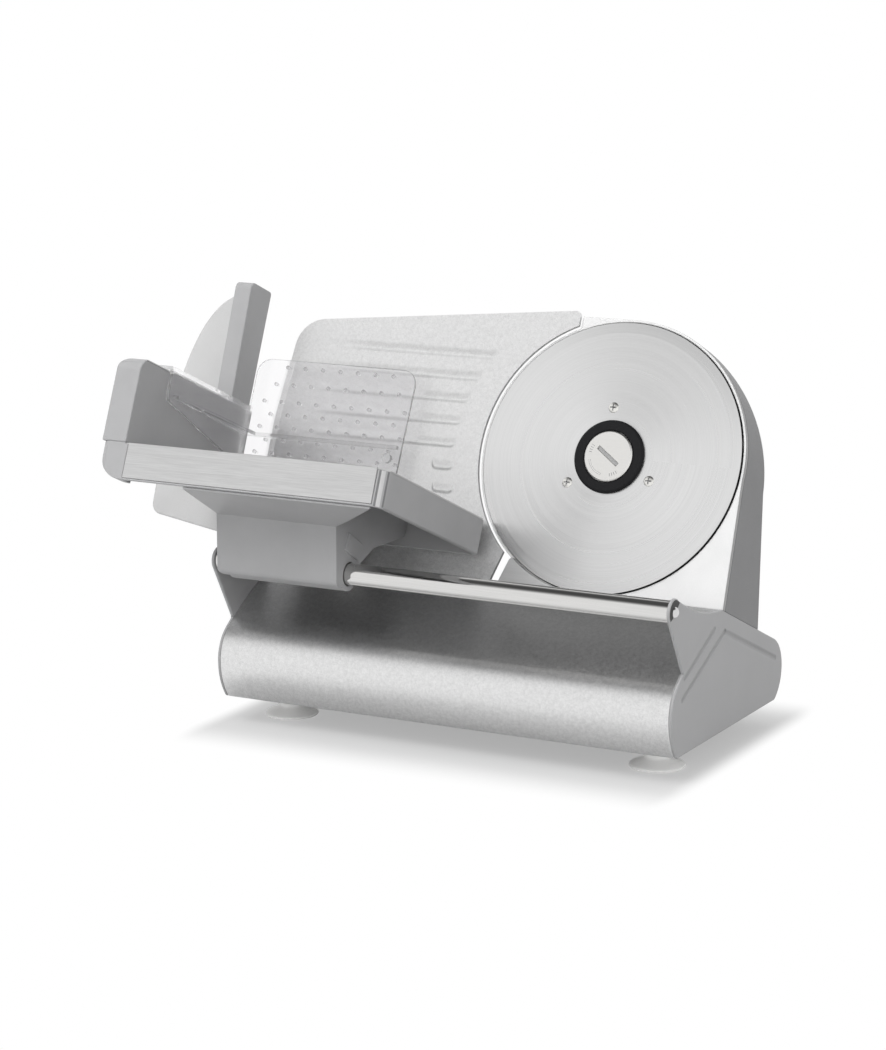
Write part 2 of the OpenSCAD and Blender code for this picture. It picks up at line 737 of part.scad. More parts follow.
module gear_cover() {
    back = front_bearing_at + front_bearing_w;
    placed() color("silver") blade_frame() difference() {
        union() {
            translate([0, 0, -case_front]) cylinder(r = case_r, h = case_front - dish_t);
            translate([0, 0, -back]) cylinder(r = front_bearing_r + 4, h = back - dish_t);
        }
        translate([0, 0, -back - 1]) cylinder(r = front_bearing_r + pin_gap, h = front_bearing_w + 1);
        translate([0, 0, -back]) cylinder(r = hub_tube_r + 1.5, h = back);
    }
}
module bearing(r_in, r_out, w) {
    lip = (r_out - r_in) * 0.3;
    rotate_extrude() polygon([[r_in, 0], [r_in + lip, 0], [r_in + lip, 0.4], [r_out - lip, 0.4],
        [r_out - lip, 0],
        [r_out, 0], [r_out, w], [r_out - lip, w], [r_out - lip, w - 0.4], [r_in + lip, w - 0.4],
            [r_in + lip, w], [r_in, w]]);
}
module bearing_front() {
    placed() color("silver") blade_frame() translate([0, 0, -front_bearing_at - front_bearing_w])
        bearing(shaft_d / 2 + pin_gap, front_bearing_r, front_bearing_w);
}
module bearing_rear() {
    placed() color("silver") blade_frame() translate([0, 0, -case_back - 4 - rear_bearing_w])
        bearing(shaft_d / 2 + pin_gap, rear_bearing_r, rear_bearing_w);
}
module motor_can() {
    placed() color("slategray") motor_axis() difference() {
        bar_x(motor_x, motor_len, motor_r);
        bar_x(motor_x + motor_bearing_w + 1, motor_len, motor_r - motor_wall);
        bar_x(motor_x + 1, motor_len, motor_bearing_r + pin_gap);
        bar_x(motor_x - 1, motor_len, motor_shaft_d / 2 + 1);
    }
}
module motor_bell() {
    at = motor_x + motor_len;
    seat = bell_len - 4 - motor_bearing_w;
    placed() color("slategray") motor_axis() difference() {
        bar_x(at, bell_len, motor_r);
        difference() {
            bar_x(at - 1, bell_len - 3, motor_r - motor_wall);
            bar_x(at + seat, bell_len, motor_bearing_r + 3);
        }
        bar_x(at + seat - 1, motor_bearing_w + 1, motor_bearing_r + pin_gap);
    }
}
module motor_bearings() {
    rear = motor_x + motor_len + bell_len - 4 - motor_bearing_w;
    placed() color("silver") motor_axis() for (x = [motor_x + 1, rear])
        translate([x, 0, 0]) rotate([0, 90, 0])
            bearing(motor_shaft_d / 2 + pin_gap, motor_bearing_r, motor_bearing_w);
}
module motor_stator() {
    x = motor_x + 10;
    placed() color("dimgray") motor_axis() difference() {
        bar_x(x, motor_len - 16, motor_r - motor_wall - pin_gap);
        bar_x(x - 1, motor_len - 14, rotor_r + rotor_gap);
        for (i = [0:3]) rotate([45 + 90 * i, 0, 0]) translate([0, rotor_r + 3, 0])
            bar_x(x - 1, motor_len - 14, 2);
    }
}
module armature() {
    x = motor_x + 12;
    back = motor_x + motor_len + bell_len - 4.5;
    slots = 12;
    placed() color("peru") motor_axis() {
        bar_x(-worm_len / 2 - 4, back + worm_len / 2 + 4, motor_shaft_d / 2);
        difference() {
            bar_x(x, motor_len - 20, rotor_r);
            bar_x(x - 1, motor_len, motor_shaft_d / 2 - eps);
            for (i = [0:slots - 1]) rotate([i * 360 / slots, 0, 0])
                translate([0, rotor_r, 0]) bar_x(x - 1, motor_len, 1.2);
        }
    }
}
module commutator() {
    x = motor_x + motor_len - 5;
    placed() color("peru") motor_axis() difference() {
        bar_x(x, 8, commutator_r);
        bar_x(x - 1, 10, motor_shaft_d / 2 + pin_gap);
    }
}
module brushes() {
    x = motor_x + motor_len - 4;
    placed() color([0.2, 0.2, 0.2]) motor_axis() for (side = [0, 1]) mirror([0, side, 0])
        translate([x, commutator_r + lock_gap, -2.5])
            cube([3.6, motor_r - motor_wall - commutator_r - 0.8, 5]);
}
module worm() {
    m = gear_module;
    steps = 24;
    crest = worm_r + 0.8 * m;
    root = worm_r - 1.2 * m;
    // Radius around one turn: a flat root, a rise, a narrow crest and a fall
    function thread(a) = a < 150 ? root : a < 230 ? root + (crest - root) * (a - 150) / 80
        : a < 280 ? crest : crest - (crest - root) * (a - 280) / 80;
    placed() color("silver") motor_axis() rotate([0, 90, 0]) difference() {
        rotate(15) translate([0, 0, -worm_len / 2])
            linear_extrude(worm_len, twist = -360 * worm_turns, slices = ceil(16 * worm_turns),
                $fn = steps)
            rotate(-180 * worm_turns) polygon([for (i = [0:steps - 1]) let (a = i * 360 / steps)
                thread(a) * [cos(a), sin(a)]]);
        translate([0, 0, -worm_len]) cylinder(d = motor_shaft_d + 2 * pin_gap, h = 2 * worm_len);
    }
}

// Gauge plate and its guide
module gauge_outline() {
    top_rise = 0.098;
    left_top = [gauge_end + 7.5, 92];
    right_top = [gauge_right, left_top.y + (gauge_right - left_top.x) * top_rise];
    difference() {
        polygon(rounded([[gauge_end, gauge_foot_v, 6], [gauge_end, 6, 0], [left_top.x, left_top.y, 26],
            [right_top.x, right_top.y, 4], [gauge_right, 60, 0], [blade_cx, 0, 0],
            [blade_cx + body_left - 1, -84, 0], [blade_cx + body_left - 9, gauge_foot_v, 3]]));
        translate([blade_cx, 0]) circle(r = gauge_arc, $fn = 180);
    }
}
module ridge_strip(x0, x1, v) {
    translate([x0, v - ridge_w / 2]) square([x1 - x0, ridge_w]);
    for (x = [x0, x1]) translate([x, v]) circle(d = ridge_w);
}
module gauge_plate() {
    end_r = gauge_arc + 24;
    top_v = 74.7;
    placed() color("lightgray") feed_frame() {
        slab(-gauge_t, 0) gauge_outline();
        slab(-eps, ridge_h) {
            for (i = [0:4]) let (v = top_v - i * ridge_pitch)
                ridge_strip(gauge_end + 22, blade_cx - sqrt(end_r * end_r - v * v), v);
            for (i = [5:6]) let (v = top_v - i * ridge_pitch)
                ridge_strip(blade_cx - sqrt(end_r * end_r - v * v) - 16,
                    blade_cx - sqrt(end_r * end_r - v * v), v);
        }
    }
}
module guide_places() {
    for (side = [-1, 1]) translate([knob_cx + side * guide_dx, lead_v, 0]) children();
}
module gauge_bracket() {
    half = guide_dx + guide_d + 8;
    foot_h = knob_d / 2 + lead_d + 4;
    rib_t = 12;
    rib_top = 50;
    placed() color("silver") feed_frame() difference() {
        union() {
            slab(-bracket_len, -gauge_t) translate([knob_cx - half, gauge_foot_v])
                square([2 * half, foot_h]);
            for (side = [-1, 1]) translate([knob_cx + side * guide_dx + rib_t / 2, 0, 0])
                side_cut(0, rib_t)
                polygon([[-gauge_t, gauge_foot_v], [-gauge_t, rib_top], [-gauge_t - 6, rib_top],
                    [-bracket_len, gauge_foot_v + foot_h], [-bracket_len, gauge_foot_v]]);
        }
        translate([knob_cx, lead_v, -far / 2])
            cylinder(d = lead_d + 2 * pin_gap, h = far / 2 - gauge_t - 2);
        guide_places() translate([0, 0, -far / 2])
            cylinder(d = guide_d + 2 * pin_gap, h = far / 2 - gauge_t - 2);
    }
}
module guide_block() {
    half = guide_dx + guide_d + 4;
    placed() color("darkgray") feed_frame() difference() {
        slab(-block_w, -block_w + block_t)
            polygon(rounded([[knob_cx - half, base_v + 0.05, 0], [knob_cx - half, lead_v + 14, 5],
                [knob_cx + half, lead_v + 14, 5], [knob_cx + half, base_v + 0.05, 0]]));
        translate([knob_cx, lead_v, -far / 2]) cylinder(d = lead_d + 2 * pin_gap, h = far);
        guide_places() translate([0, 0, -far / 2]) cylinder(d = guide_d + 2 * pin_gap, h = far);
    }
}
module guide_rods() {
    placed() color("silver") feed_frame() guide_places() translate([0, 0, -block_w])
        cylinder(d = guide_d, h = block_w - rod_front);
}
module lead_screw() {
    grip = knob_h - 6;
    placed() color("silver") feed_frame() translate([knob_cx, lead_v, -knob_w - grip])
        cylinder(d = lead_d, h = knob_w + grip - rod_front);
}
module thickness_knob() {
    grips = 24;
    r = knob_d / 2;
    dial_h = 5;
    placed() color([0.2, 0.2, 0.21]) feed_frame() translate([knob_cx, lead_v, -knob_w])
        rotate([180, 0, 0]) difference() {
        union() {
            cylinder(r = r, h = dial_h);
            translate([0, 0, dial_h - eps]) linear_extrude(knob_h - dial_h - 1) difference() {
                circle(r = r - 2.4);
                for (i = [0:grips - 1]) rotate(i * 360 / grips) translate([r - 2.4, 0])
                    circle(r = 1.1, $fn = 24);
            }
            translate([0, 0, dial_h]) cylinder(r = r - 5, h = knob_h - dial_h);
        }
        translate([0, 0, -1]) cylinder(d = lead_d + 2 * pin_gap, h = knob_h - 5 + pin_gap);
    }
}

// Carriage
module frame_outline(inset) {
    polygon(rounded([[wall_out + inset, tray_back + inset, 4], [tray_end - inset, tray_back + inset, 3],
        [tray_end - inset, tray_front - inset, 11 - inset],
            [wall_out + inset, tray_front - inset, 8 - inset]]));
}
// Left end and right end of the frame, seen from the front
module frame_section() {
    polygon(rounded([[wall_out, tray_v, 0], [wall_out + 4, frame_bottom, 22], [tray_end, frame_bottom, 2],
        [tray_end, tray_v, 0]]));
}
module tray_frame() {
    placed() color("darkgray") feed_frame() difference() {
        intersection() {
            deck(tray_v, tray_h) frame_outline(0);
            slab(0, far) frame_section();
        }
        deck(deck_under, tray_h) intersection() {
            frame_outline(frame_wall);
            translate([wall_out + 25, 0]) square([far, far]);
        }
        slab(0, far) translate([wall_in, frame_top]) square([far, far]);
        // Left of the column only the deck and the front remain
        translate([wall_out - 1, frame_bottom - 1, 0])
            cube([column_x - wall_out - 1, deck_under - frame_bottom + 1, tray_front - 14]);
        translate([strip_left - 0.3, tray_v - strip_h - 0.3, tray_front - tray_t])
            cube([strip_right - strip_left + 0.6, far, far]);
    }
}
module tray_plate() {
    placed() color("silver") feed_frame() {
        deck(tray_v, tray_t) difference() {
            frame_outline(0.4);
            translate([wall_out - 1, 0]) square([wall_t + 1 + pin_gap, far]);
            translate([wall_out, tray_front - tray_t]) square([strip_left - wall_out, far]);
            translate([strip_right, tray_front - tray_t]) square([far, far]);
        }
        translate([strip_left, tray_v - strip_h, tray_front - tray_t])
            cube([strip_right - strip_left, strip_h, tray_t]);
    }
}
module side_wall() {
    rear = tray_back;
    lean = 4;
    placed() color("darkgray") feed_frame() difference() {
        union() {
            intersection() {
                side_cut(wall_in, wall_t) polygon(rounded([[rear, tray_v, 0], [rear, wall_top, 0],
                    [tray_front, wall_top, 12], [tray_front, tray_v, 0]]));
                slab(0, far) polygon(rounded([[wall_out, tray_v, 0], [wall_out, wall_top, 9],
                    [wall_in, wall_top, 2], [wall_in, tray_v, 0]]));
            }
            side_cut(wall_in - pillar_in, pillar_t)
                polygon(rounded([[rear, tray_v, 0], [rear, pillar_top, 3],
                [rear + pillar_w + lean, pillar_top, 6], [rear + pillar_w, wall_top - 5, 0]]));
        }
        side_cut(wall_in - frame_wall, wall_t - 2 * frame_wall)
            polygon([[rear + frame_wall, tray_v - 1], [rear + frame_wall, wall_top - frame_wall],
                [tray_front - frame_wall - 6, wall_top - frame_wall],
                    [tray_front - frame_wall, wall_top - frame_wall - 6],
                [tray_front - frame_wall, tray_v - 1]]);
        hand_screw_places() translate([0, 0, rear - 1]) cylinder(d = 3 + 2 * pin_gap, h = 14);
    }
}
module hand_screw_places() {
    x = wall_in - pillar_in - pillar_t / 2;
    for (v = [wall_top + 20, pillar_top - 20]) translate([x, v, 0]) children();
}
module hand_guard() {
    x = wall_in - pillar_in - 4;
    low = frame_bottom - 4.4;
    placed() color("gainsboro") feed_frame() difference() {
        slab(tray_back - hand_t, tray_back) polygon(concat(
            rounded([[x, low, 0], [hand_out + 1.5, low + 11, 10], [hand_out, low + 58, 0]]),
            curve([hand_out + 1.5, low + 96], [hand_out + 6.5, pillar_top - 23],
                [hand_out + 40.5, pillar_top - 5]),
            [[hand_out + 46, pillar_top - 3], [x, pillar_top - 3]]));
        hand_screw_places() cylinder(d = 3 + 2 * pin_gap, h = far, center = true);
    }
}
module hand_guard_screws() {
    placed() color("silver") feed_frame() hand_screw_places() translate([0, 0, tray_back - hand_t]) {
        cylinder(d = 3, h = 14);
        mirror([0, 0, 1]) dome(2.8, 1);
    }
}
// Height of the tilted level v above the y of the carriage
function level_z(v, y) = blade_z + (v - (y - blade_y) * sin(tilt)) / cos(tilt);
module carriage_column() {
    front = rod_y - column_front;
    back = rod_y + column_front - 2;
    low = rod_z - skirt_drop;
    shoulder = low + 53.5;
    web_z = low + 21;
    above = deck_under + 1;
    web_end = world_yz(tray_back + frame_wall + 1, above);
    web_foot = world_yz(tray_back + frame_wall + 1, frame_bottom + 8);
    lip_low = world_yz(tray_front - 2, frame_bottom - 2);
    lip_high = world_yz(tray_front - 2, frame_bottom);
    lip_back = world_yz(tray_front - 7, frame_bottom);
    pocket = rod_z + bush_r + 1.6 + 0.4;
    heel = [column_x - 0.3, low - 0.3];
    heel_r = 7;
    sleeve_x = column_x + bush_in - 1;
    placed() color("darkgray") difference() {
        union() {
            difference() {
                along_x(column_x, column_w)
                    polygon(rounded([[front, low, 6], [front, level_z(above, front), 0],
                    [back, level_z(above, back), 0], [back, low, 4]]));
                // Round lower left corner, as seen from the front
                translate([0, rod_y + far / 4, 0]) rotate([90, 0, 0]) linear_extrude(far / 2)
                    polygon(concat(corner_arc(heel, heel + [9, 0], heel + [0, 9], heel_r),
                        [heel + [-2, heel_r], heel - [2, 2], heel + [heel_r, -2]]));
                along_x(column_x + column_wall, column_w - 2 * column_wall)
                    polygon([[front + column_wall, pocket], [front + column_wall, rod_z + far],
                        [back - column_wall, rod_z + far], [back - column_wall, pocket]]);
            }
            translate([0, rod_y, rod_z]) bar_x(sleeve_x, column_right - sleeve_x, bush_r + 1.6);
            for (x = [column_x, column_right - column_wall]) along_x(x, column_wall)
                polygon([[back - 2, low + 12], [back + 22, web_z], web_foot, web_end,
                    [back - 2, level_z(above, back - 2)]]);
            // Apron that spreads forward to the tray's front edge
            intersection() {
                along_x(column_x + 0.5, tray_end - 9 - column_x) polygon([[front + 1, shoulder - 4],
                    [front, shoulder - 4], lip_low, lip_high, lip_back, [front + 1, shoulder + 2]]);
                translate([0, rod_y + far / 4, 0]) rotate([90, 0, 0]) linear_extrude(far / 2)
                    polygon([[column_x + 0.5, shoulder - 4], [column_right, shoulder - 4],
                        [tray_end - 9, lip_low.y], [tray_end - 9, lip_low.y + 40],
                            [column_x + 0.5, lip_low.y + 40]]);
            }
            // Flange under the tray's deck
            feed_frame() deck(above, column_wall + 1)
                translate([column_x + 0.6, tray_back + frame_wall + 3])
                square([column_w - 1.2, tray_front - tray_back - 2 * frame_wall - 32]);
            // Leg down to the glide shoe
            along_x(leg_x, leg_w) polygon([[leg_y, slope_z(leg_y) + shoe_t + 0.4],
                [leg_y + leg_d, slope_z(leg_y + leg_d) + shoe_t + 0.4],
                [leg_y + leg_d, level_z(above, leg_y + leg_d)], [leg_y, level_z(above, leg_y)]]);
            // Catch on the column's right side
            translate([column_right - 1, rod_y + 5, low + 29]) rotate([-32, 0, 0])
                translate([0, -12, -7]) cube([3, 24, 14]);
        }
        translate([0, rod_y, rod_z]) {
            bar_x(column_x + bush_in, column_w - bush_in - bush_lip, bush_r + pin_gap);
            bar_x(column_x - 1, column_w + 2, rod_d / 2 + rod_mouth);
        }
        feed_frame() translate([-far / 2, deck_under, tray_back]) cube([far, far, far]);
    }
}

module rod_bushes() {
    first = column_x + bush_in + pin_gap;
    last = column_right - bush_lip - pin_gap - bush_len;
    placed() color("ivory") translate([0, rod_y, rod_z]) for (x = [first, last]) difference() {
        bar_x(x, bush_len, bush_r);
        bar_x(x - 1, bush_len + 2, rod_d / 2 + pin_gap);
    }
}
module glide_shoe() {
    lift = 0.4;
    placed() color("ivory") along_x(leg_x - 2, leg_w + 4)
        polygon([[leg_y, slope_z(leg_y) + lift], [leg_y + leg_d, slope_z(leg_y + leg_d) + lift],
            [leg_y + leg_d, slope_z(leg_y + leg_d) + shoe_t + 0.4],
                [leg_y, slope_z(leg_y) + shoe_t + 0.4]]);
}

// Pusher
module pusher() {
    left = pusher_left;
    top = pusher_foot + pusher_h;
    flange_v = wall_top + slide_gap;
    outer = wall_out - slide_gap - pusher_t;
    face = pusher_back + pusher_t;
    placed() color([0.85, 0.9, 0.92, 0.5]) feed_frame() {
        slab(pusher_back, face) polygon(rounded([[left, pusher_foot, 4], [left, top, 13],
            [left + pusher_w, top, 13], [left + pusher_w - 3, pusher_foot, 4]]));
        side_cut(left + pusher_t, pusher_t) polygon(rounded([[face - eps, pusher_foot + 18, 0],
            [face - eps, flange_v + pusher_t, 0], [hook_front, flange_v + pusher_t, 3],
            [hook_front - 2, ledge_v - 6, 6], [face + 34, pusher_foot + 26, 10]]));
        side_cut(left + pusher_t, left + pusher_t - outer)
            polygon([[hook_back, flange_v], [hook_back, flange_v + pusher_t],
            [hook_front, flange_v + pusher_t], [hook_front, flange_v]]);
        side_cut(outer + pusher_t, pusher_t)
            polygon(rounded([[hook_back, flange_v - 14, 4], [hook_back, flange_v + pusher_t, 0],
            [hook_front, flange_v + pusher_t, 0], [hook_front, flange_v - 14, 4]]));
        deck(ledge_v, pusher_t) polygon([[left + eps, face - eps], [left + eps, hook_front - 8],
            [left + 8, hook_front - 8],
            [left + 13, face + 4], [left + pusher_w - 4, face + 4], [left + pusher_w - 4, face - eps]]);
        translate([left + pusher_w - 12, ledge_v - 11, face - eps]) cylinder(d = 8, h = 4);
        translate([wall_in - 8, flange_v + pusher_t - eps, hook_back + 16]) rotate([-90, 0, 0])
            cylinder(d = 8, h = 3);
    }
}

// Switch and cord gland
module switch_body() {
    w = rocker_w + 2 * bezel;
    h = rocker_h + 2 * bezel;
    placed() color([0.15, 0.15, 0.16]) back_frame() translate([switch_x, switch_y, 0]) difference() {
        union() {
            translate([-w / 2 - 1.5, -h / 2 - 1.5, -1.6]) cube([w + 3, h + 3, 1.6]);
            translate([-w / 2 + 0.2, -h / 2 + 0.2, -eps]) cube([w - 0.4, h - 0.4, switch_depth]);
        }
        translate([-rocker_w / 2 - slide_gap, -rocker_h / 2 - slide_gap, -5])
            cube([rocker_w + 2 * slide_gap, rocker_h + 2 * slide_gap, 14]);
        translate([0, 0, rocker_pivot])
            bar_x(-rocker_w / 2 - trunnion_len - 0.3, rocker_w + 2 * trunnion_len + 0.6,
                trunnion_r + pin_gap);
    }
}
module switch_rocker() {
    lean = rocker_swing / 2;
    r = rocker_h / 2;
    placed() color([0.1, 0.1, 0.1]) back_frame() translate([switch_x, switch_y, rocker_pivot])
        rotate([lean, 0, 0]) {
        translate([rocker_w / 2, 0, -1 - rocker_pivot]) rotate([0, -90, 0]) linear_extrude(rocker_w)
            polygon([[-2.4, -r + 0.8], [-1.6, 0], [-2.4, r - 0.8], [2.6, r - 1.4], [6, 3], [6, -3],
                [2.6, -r + 1.4]]);
        bar_x(-rocker_w / 2 - trunnion_len, rocker_w + 2 * trunnion_len, trunnion_r);
    }
}
module cord_gland() {
    placed() color([0.15, 0.15, 0.16]) translate([gland_cx, rear_y + rear_r, rear_z])
        rotate([-90, 0, 0]) difference() {
        union() {
            translate([0, 0, -6]) cylinder(d = cord_d + 5 - 2 * pin_gap, h = 6 + eps);
            rotate_extrude() polygon([[0, 0], [10, 0], [10, 2.5], [8, 4], [6.5, gland_out],
                [0, gland_out]]);
        }
        translate([0, 0, -7]) cylinder(d = cord_d, h = gland_out + 8);
    }
}

base_shell();
end_cap_left();
end_cap_right();
bottom_plate();
slide_rod();
rod_screws();
foot_front_left();
foot_front_right();
foot_rear_left();
foot_rear_right();
foot_nuts();
front_plate();
drum_housing();
rear_cover();
lower_guard();
gear_case();
gear_cover();
bearing_front();
bearing_rear();
motor_can();
motor_stator();
motor_bell();
motor_bearings();
brushes();
guide_block();
guide_rods();
switch_body();
cord_gland();
blade();
hub_ring();
blade_screws();
blade_flange();
blade_shaft();
worm_wheel();
blade_lock();
armature();
commutator();
worm();
tray_frame();
tray_plate();
carriage_column();
side_wall();
hand_guard();
hand_guard_screws();
rod_bushes();
glide_shoe();
pusher();
gauge_plate();
gauge_bracket();
lead_screw();
thickness_knob();
switch_rocker();
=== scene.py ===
"""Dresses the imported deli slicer: finishes, rounded skins, small fittings, stage and camera."""
import json
import math

import bmesh
import bpy
from mathutils import Matrix, Vector

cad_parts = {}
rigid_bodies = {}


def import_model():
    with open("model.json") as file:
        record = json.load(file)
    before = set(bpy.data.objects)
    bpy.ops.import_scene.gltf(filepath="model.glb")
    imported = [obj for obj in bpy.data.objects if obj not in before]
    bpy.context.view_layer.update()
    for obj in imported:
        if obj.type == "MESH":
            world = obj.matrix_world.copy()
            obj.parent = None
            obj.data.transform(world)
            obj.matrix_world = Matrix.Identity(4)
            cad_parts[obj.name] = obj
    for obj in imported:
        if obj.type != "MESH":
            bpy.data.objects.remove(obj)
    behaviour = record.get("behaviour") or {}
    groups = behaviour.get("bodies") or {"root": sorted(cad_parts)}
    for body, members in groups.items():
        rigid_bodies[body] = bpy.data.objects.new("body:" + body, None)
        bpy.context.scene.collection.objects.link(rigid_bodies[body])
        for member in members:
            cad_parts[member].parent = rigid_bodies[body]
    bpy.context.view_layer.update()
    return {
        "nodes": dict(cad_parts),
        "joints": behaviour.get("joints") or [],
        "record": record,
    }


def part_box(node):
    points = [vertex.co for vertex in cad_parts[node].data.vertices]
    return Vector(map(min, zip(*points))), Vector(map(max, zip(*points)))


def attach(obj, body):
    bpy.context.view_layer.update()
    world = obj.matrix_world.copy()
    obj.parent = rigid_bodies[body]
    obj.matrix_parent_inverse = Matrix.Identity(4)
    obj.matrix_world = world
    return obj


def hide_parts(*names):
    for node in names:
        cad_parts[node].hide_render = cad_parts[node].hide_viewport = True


bl_info = {
    "name": "Deli slicer dressing",
    "version": (1, 0, 0),
    "blender": (4, 5, 0),
    "location": "3D View > Sidebar > Slicer",
    "description": "Finishes, rounded skins and small fittings for the packed deli slicer",
    "category": "Object",
}

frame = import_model()
RECORD = frame["record"]
BODY_OF = {node: body for body, nodes in RECORD["behaviour"]["bodies"].items() for node in nodes}
SLOT_OF = {part["node"]: part["material_slot"] for part in RECORD["subparts"]}
JOINTS = {joint["name"]: joint for joint in frame["joints"]}
MM = 0.001
# Points of a CAD mesh nearer than this are one point
WELD = 2e-6

# The blade's own frame: x along the rod, v up the blade, w out of it towards the front
BLADE_AT = Vector(JOINTS["blade_spin"]["pos_m"])
OUT = Vector(JOINTS["blade_spin"]["axis"])
TILT = math.asin(OUT.z)
FEED = Matrix.Translation((0, BLADE_AT.y, BLADE_AT.z)) @ Matrix.Rotation(math.pi / 2 - TILT, 4, "X")
BLADE = Matrix.Translation((BLADE_AT.x, 0, 0)) @ FEED


class SlicerColours(bpy.types.PropertyGroup):
    """Colours of the slicer's finishes."""
    sheet: bpy.props.FloatVectorProperty(name="Base sheet", description="Grained stainless sheet of the base",
                                         subtype="COLOR", default=(0.78, 0.78, 0.78))
    gauge: bpy.props.FloatVectorProperty(name="Gauge plate", description="Blasted metal of the gauge plate",
                                         subtype="COLOR", default=(0.80, 0.80, 0.80))
    blade: bpy.props.FloatVectorProperty(name="Blade", description="Turned stainless steel of the blade",
                                         subtype="COLOR", default=(0.76, 0.76, 0.76))
    grey: bpy.props.FloatVectorProperty(name="Grey plastic", description="Moulded plastic of caps and carriage",
                                        subtype="COLOR", default=(0.36, 0.36, 0.365))
    silver: bpy.props.FloatVectorProperty(name="Silver paint", description="Painted housing round the blade",
                                          subtype="COLOR", default=(0.17, 0.17, 0.174))
    white: bpy.props.FloatVectorProperty(name="White", description="White polished rim plate",
                                         subtype="COLOR", default=(0.71, 0.71, 0.71))
    rubber: bpy.props.FloatVectorProperty(name="Foot rubber", description="White rubber of the feet",
                                          subtype="COLOR", default=(0.95, 0.95, 0.94))
    black: bpy.props.FloatVectorProperty(name="Black plastic", description="Hub ring, knob and switch",
                                         subtype="COLOR", default=(0.012, 0.012, 0.013))
    clear: bpy.props.FloatVectorProperty(name="Clear plastic", description="Tint of the food pusher",
                                         subtype="COLOR", default=(0.965, 0.96, 0.97))


class SlicerSizes(bpy.types.PropertyGroup):
    """Sizes of the details that the finishes and fittings add."""
    edge: bpy.props.FloatProperty(name="Edge round", description="Rounding of moulded and sheet edges",
                                  default=0.5 * MM, unit="LENGTH")
    nub_columns: bpy.props.IntProperty(name="Nub columns", description="Nubs in a full row", default=9)
    nub_rows: bpy.props.IntProperty(name="Nub rows", description="Rows of nubs", default=7)
    nub_pitch: bpy.props.FloatProperty(name="Nub pitch", description="Distance between nubs in a row",
                                       default=16.6 * MM, unit="LENGTH")
    nub_row: bpy.props.FloatProperty(name="Nub row pitch", description="Distance between rows of nubs",
                                     default=14.8 * MM, unit="LENGTH")
    nub_low_row: bpy.props.FloatProperty(name="Lower nub row pitch", description="Pitch of the rows below the third",
                                         default=10.9 * MM, unit="LENGTH")
    nub_side: bpy.props.FloatProperty(name="Nub side margin", description="Last nub's distance from the right edge",
                                      default=5.7 * MM, unit="LENGTH")
    nub_top: bpy.props.FloatProperty(name="Nub top margin", description="Top row's distance from the top edge",
                                     default=5.9 * MM, unit="LENGTH")
    nub_radius: bpy.props.FloatProperty(name="Nub radius", description="Radius of a nub",
                                        default=1.6 * MM, unit="LENGTH")
    nub_height: bpy.props.FloatProperty(name="Nub height", description="Height of a nub's straight part",
                                        default=2.0 * MM, unit="LENGTH")
    shank_radius: bpy.props.FloatProperty(name="Screw shank radius", description="Radius of the blade screws' shanks",
                                          default=2.0 * MM, unit="LENGTH")
    tick_count: bpy.props.IntProperty(name="Dial ticks", description="Marks round the thickness dial", default=30)


class Wiring:
    """Short hands for filling a node tree."""

    def __init__(self, tree):
        self.tree = tree
        tree.nodes.clear()

    def link(self, source, target):
        self.tree.links.new(source, target)

    def node(self, kind, inputs=None, **settings):
        """A new node with its settings, and each input linked to a socket or set to a value."""
        made = self.tree.nodes.new(kind)
        for key, value in settings.items():
            setattr(made, key, value)
        for key, value in (inputs or {}).items():
            if isinstance(value, bpy.types.NodeSocket):
                self.link(value, made.inputs[key])
            else:
                made.inputs[key].default_value = value
        return made

    def math(self, operation, a, b=0.0):
        return self.node("ShaderNodeMath", {0: a, 1: b}, operation=operation).outputs[0]

    def mean(self, a, b):
        return self.math("MULTIPLY", self.math("ADD", a, b), 0.5)

    def vector(self, operation, a, b=(0, 0, 0), output=0):
        return self.node("ShaderNodeVectorMath", {0: a, 1: b}, operation=operation).outputs[output]

    def spread(self, value, low, high, start=0.3, end=0.7, curve="LINEAR"):
        """Runs from low to high while value runs from start to end."""
        return self.node("ShaderNodeMapRange", {"Value": value, "From Min": start, "From Max": end, "To Min": low,
                                                "To Max": high}, interpolation_type=curve).outputs[0]

    def xyz(self, x=0.0, y=0.0, z=0.0):
        return self.node("ShaderNodeCombineXYZ", {0: x, 1: y, 2: z}).outputs[0]


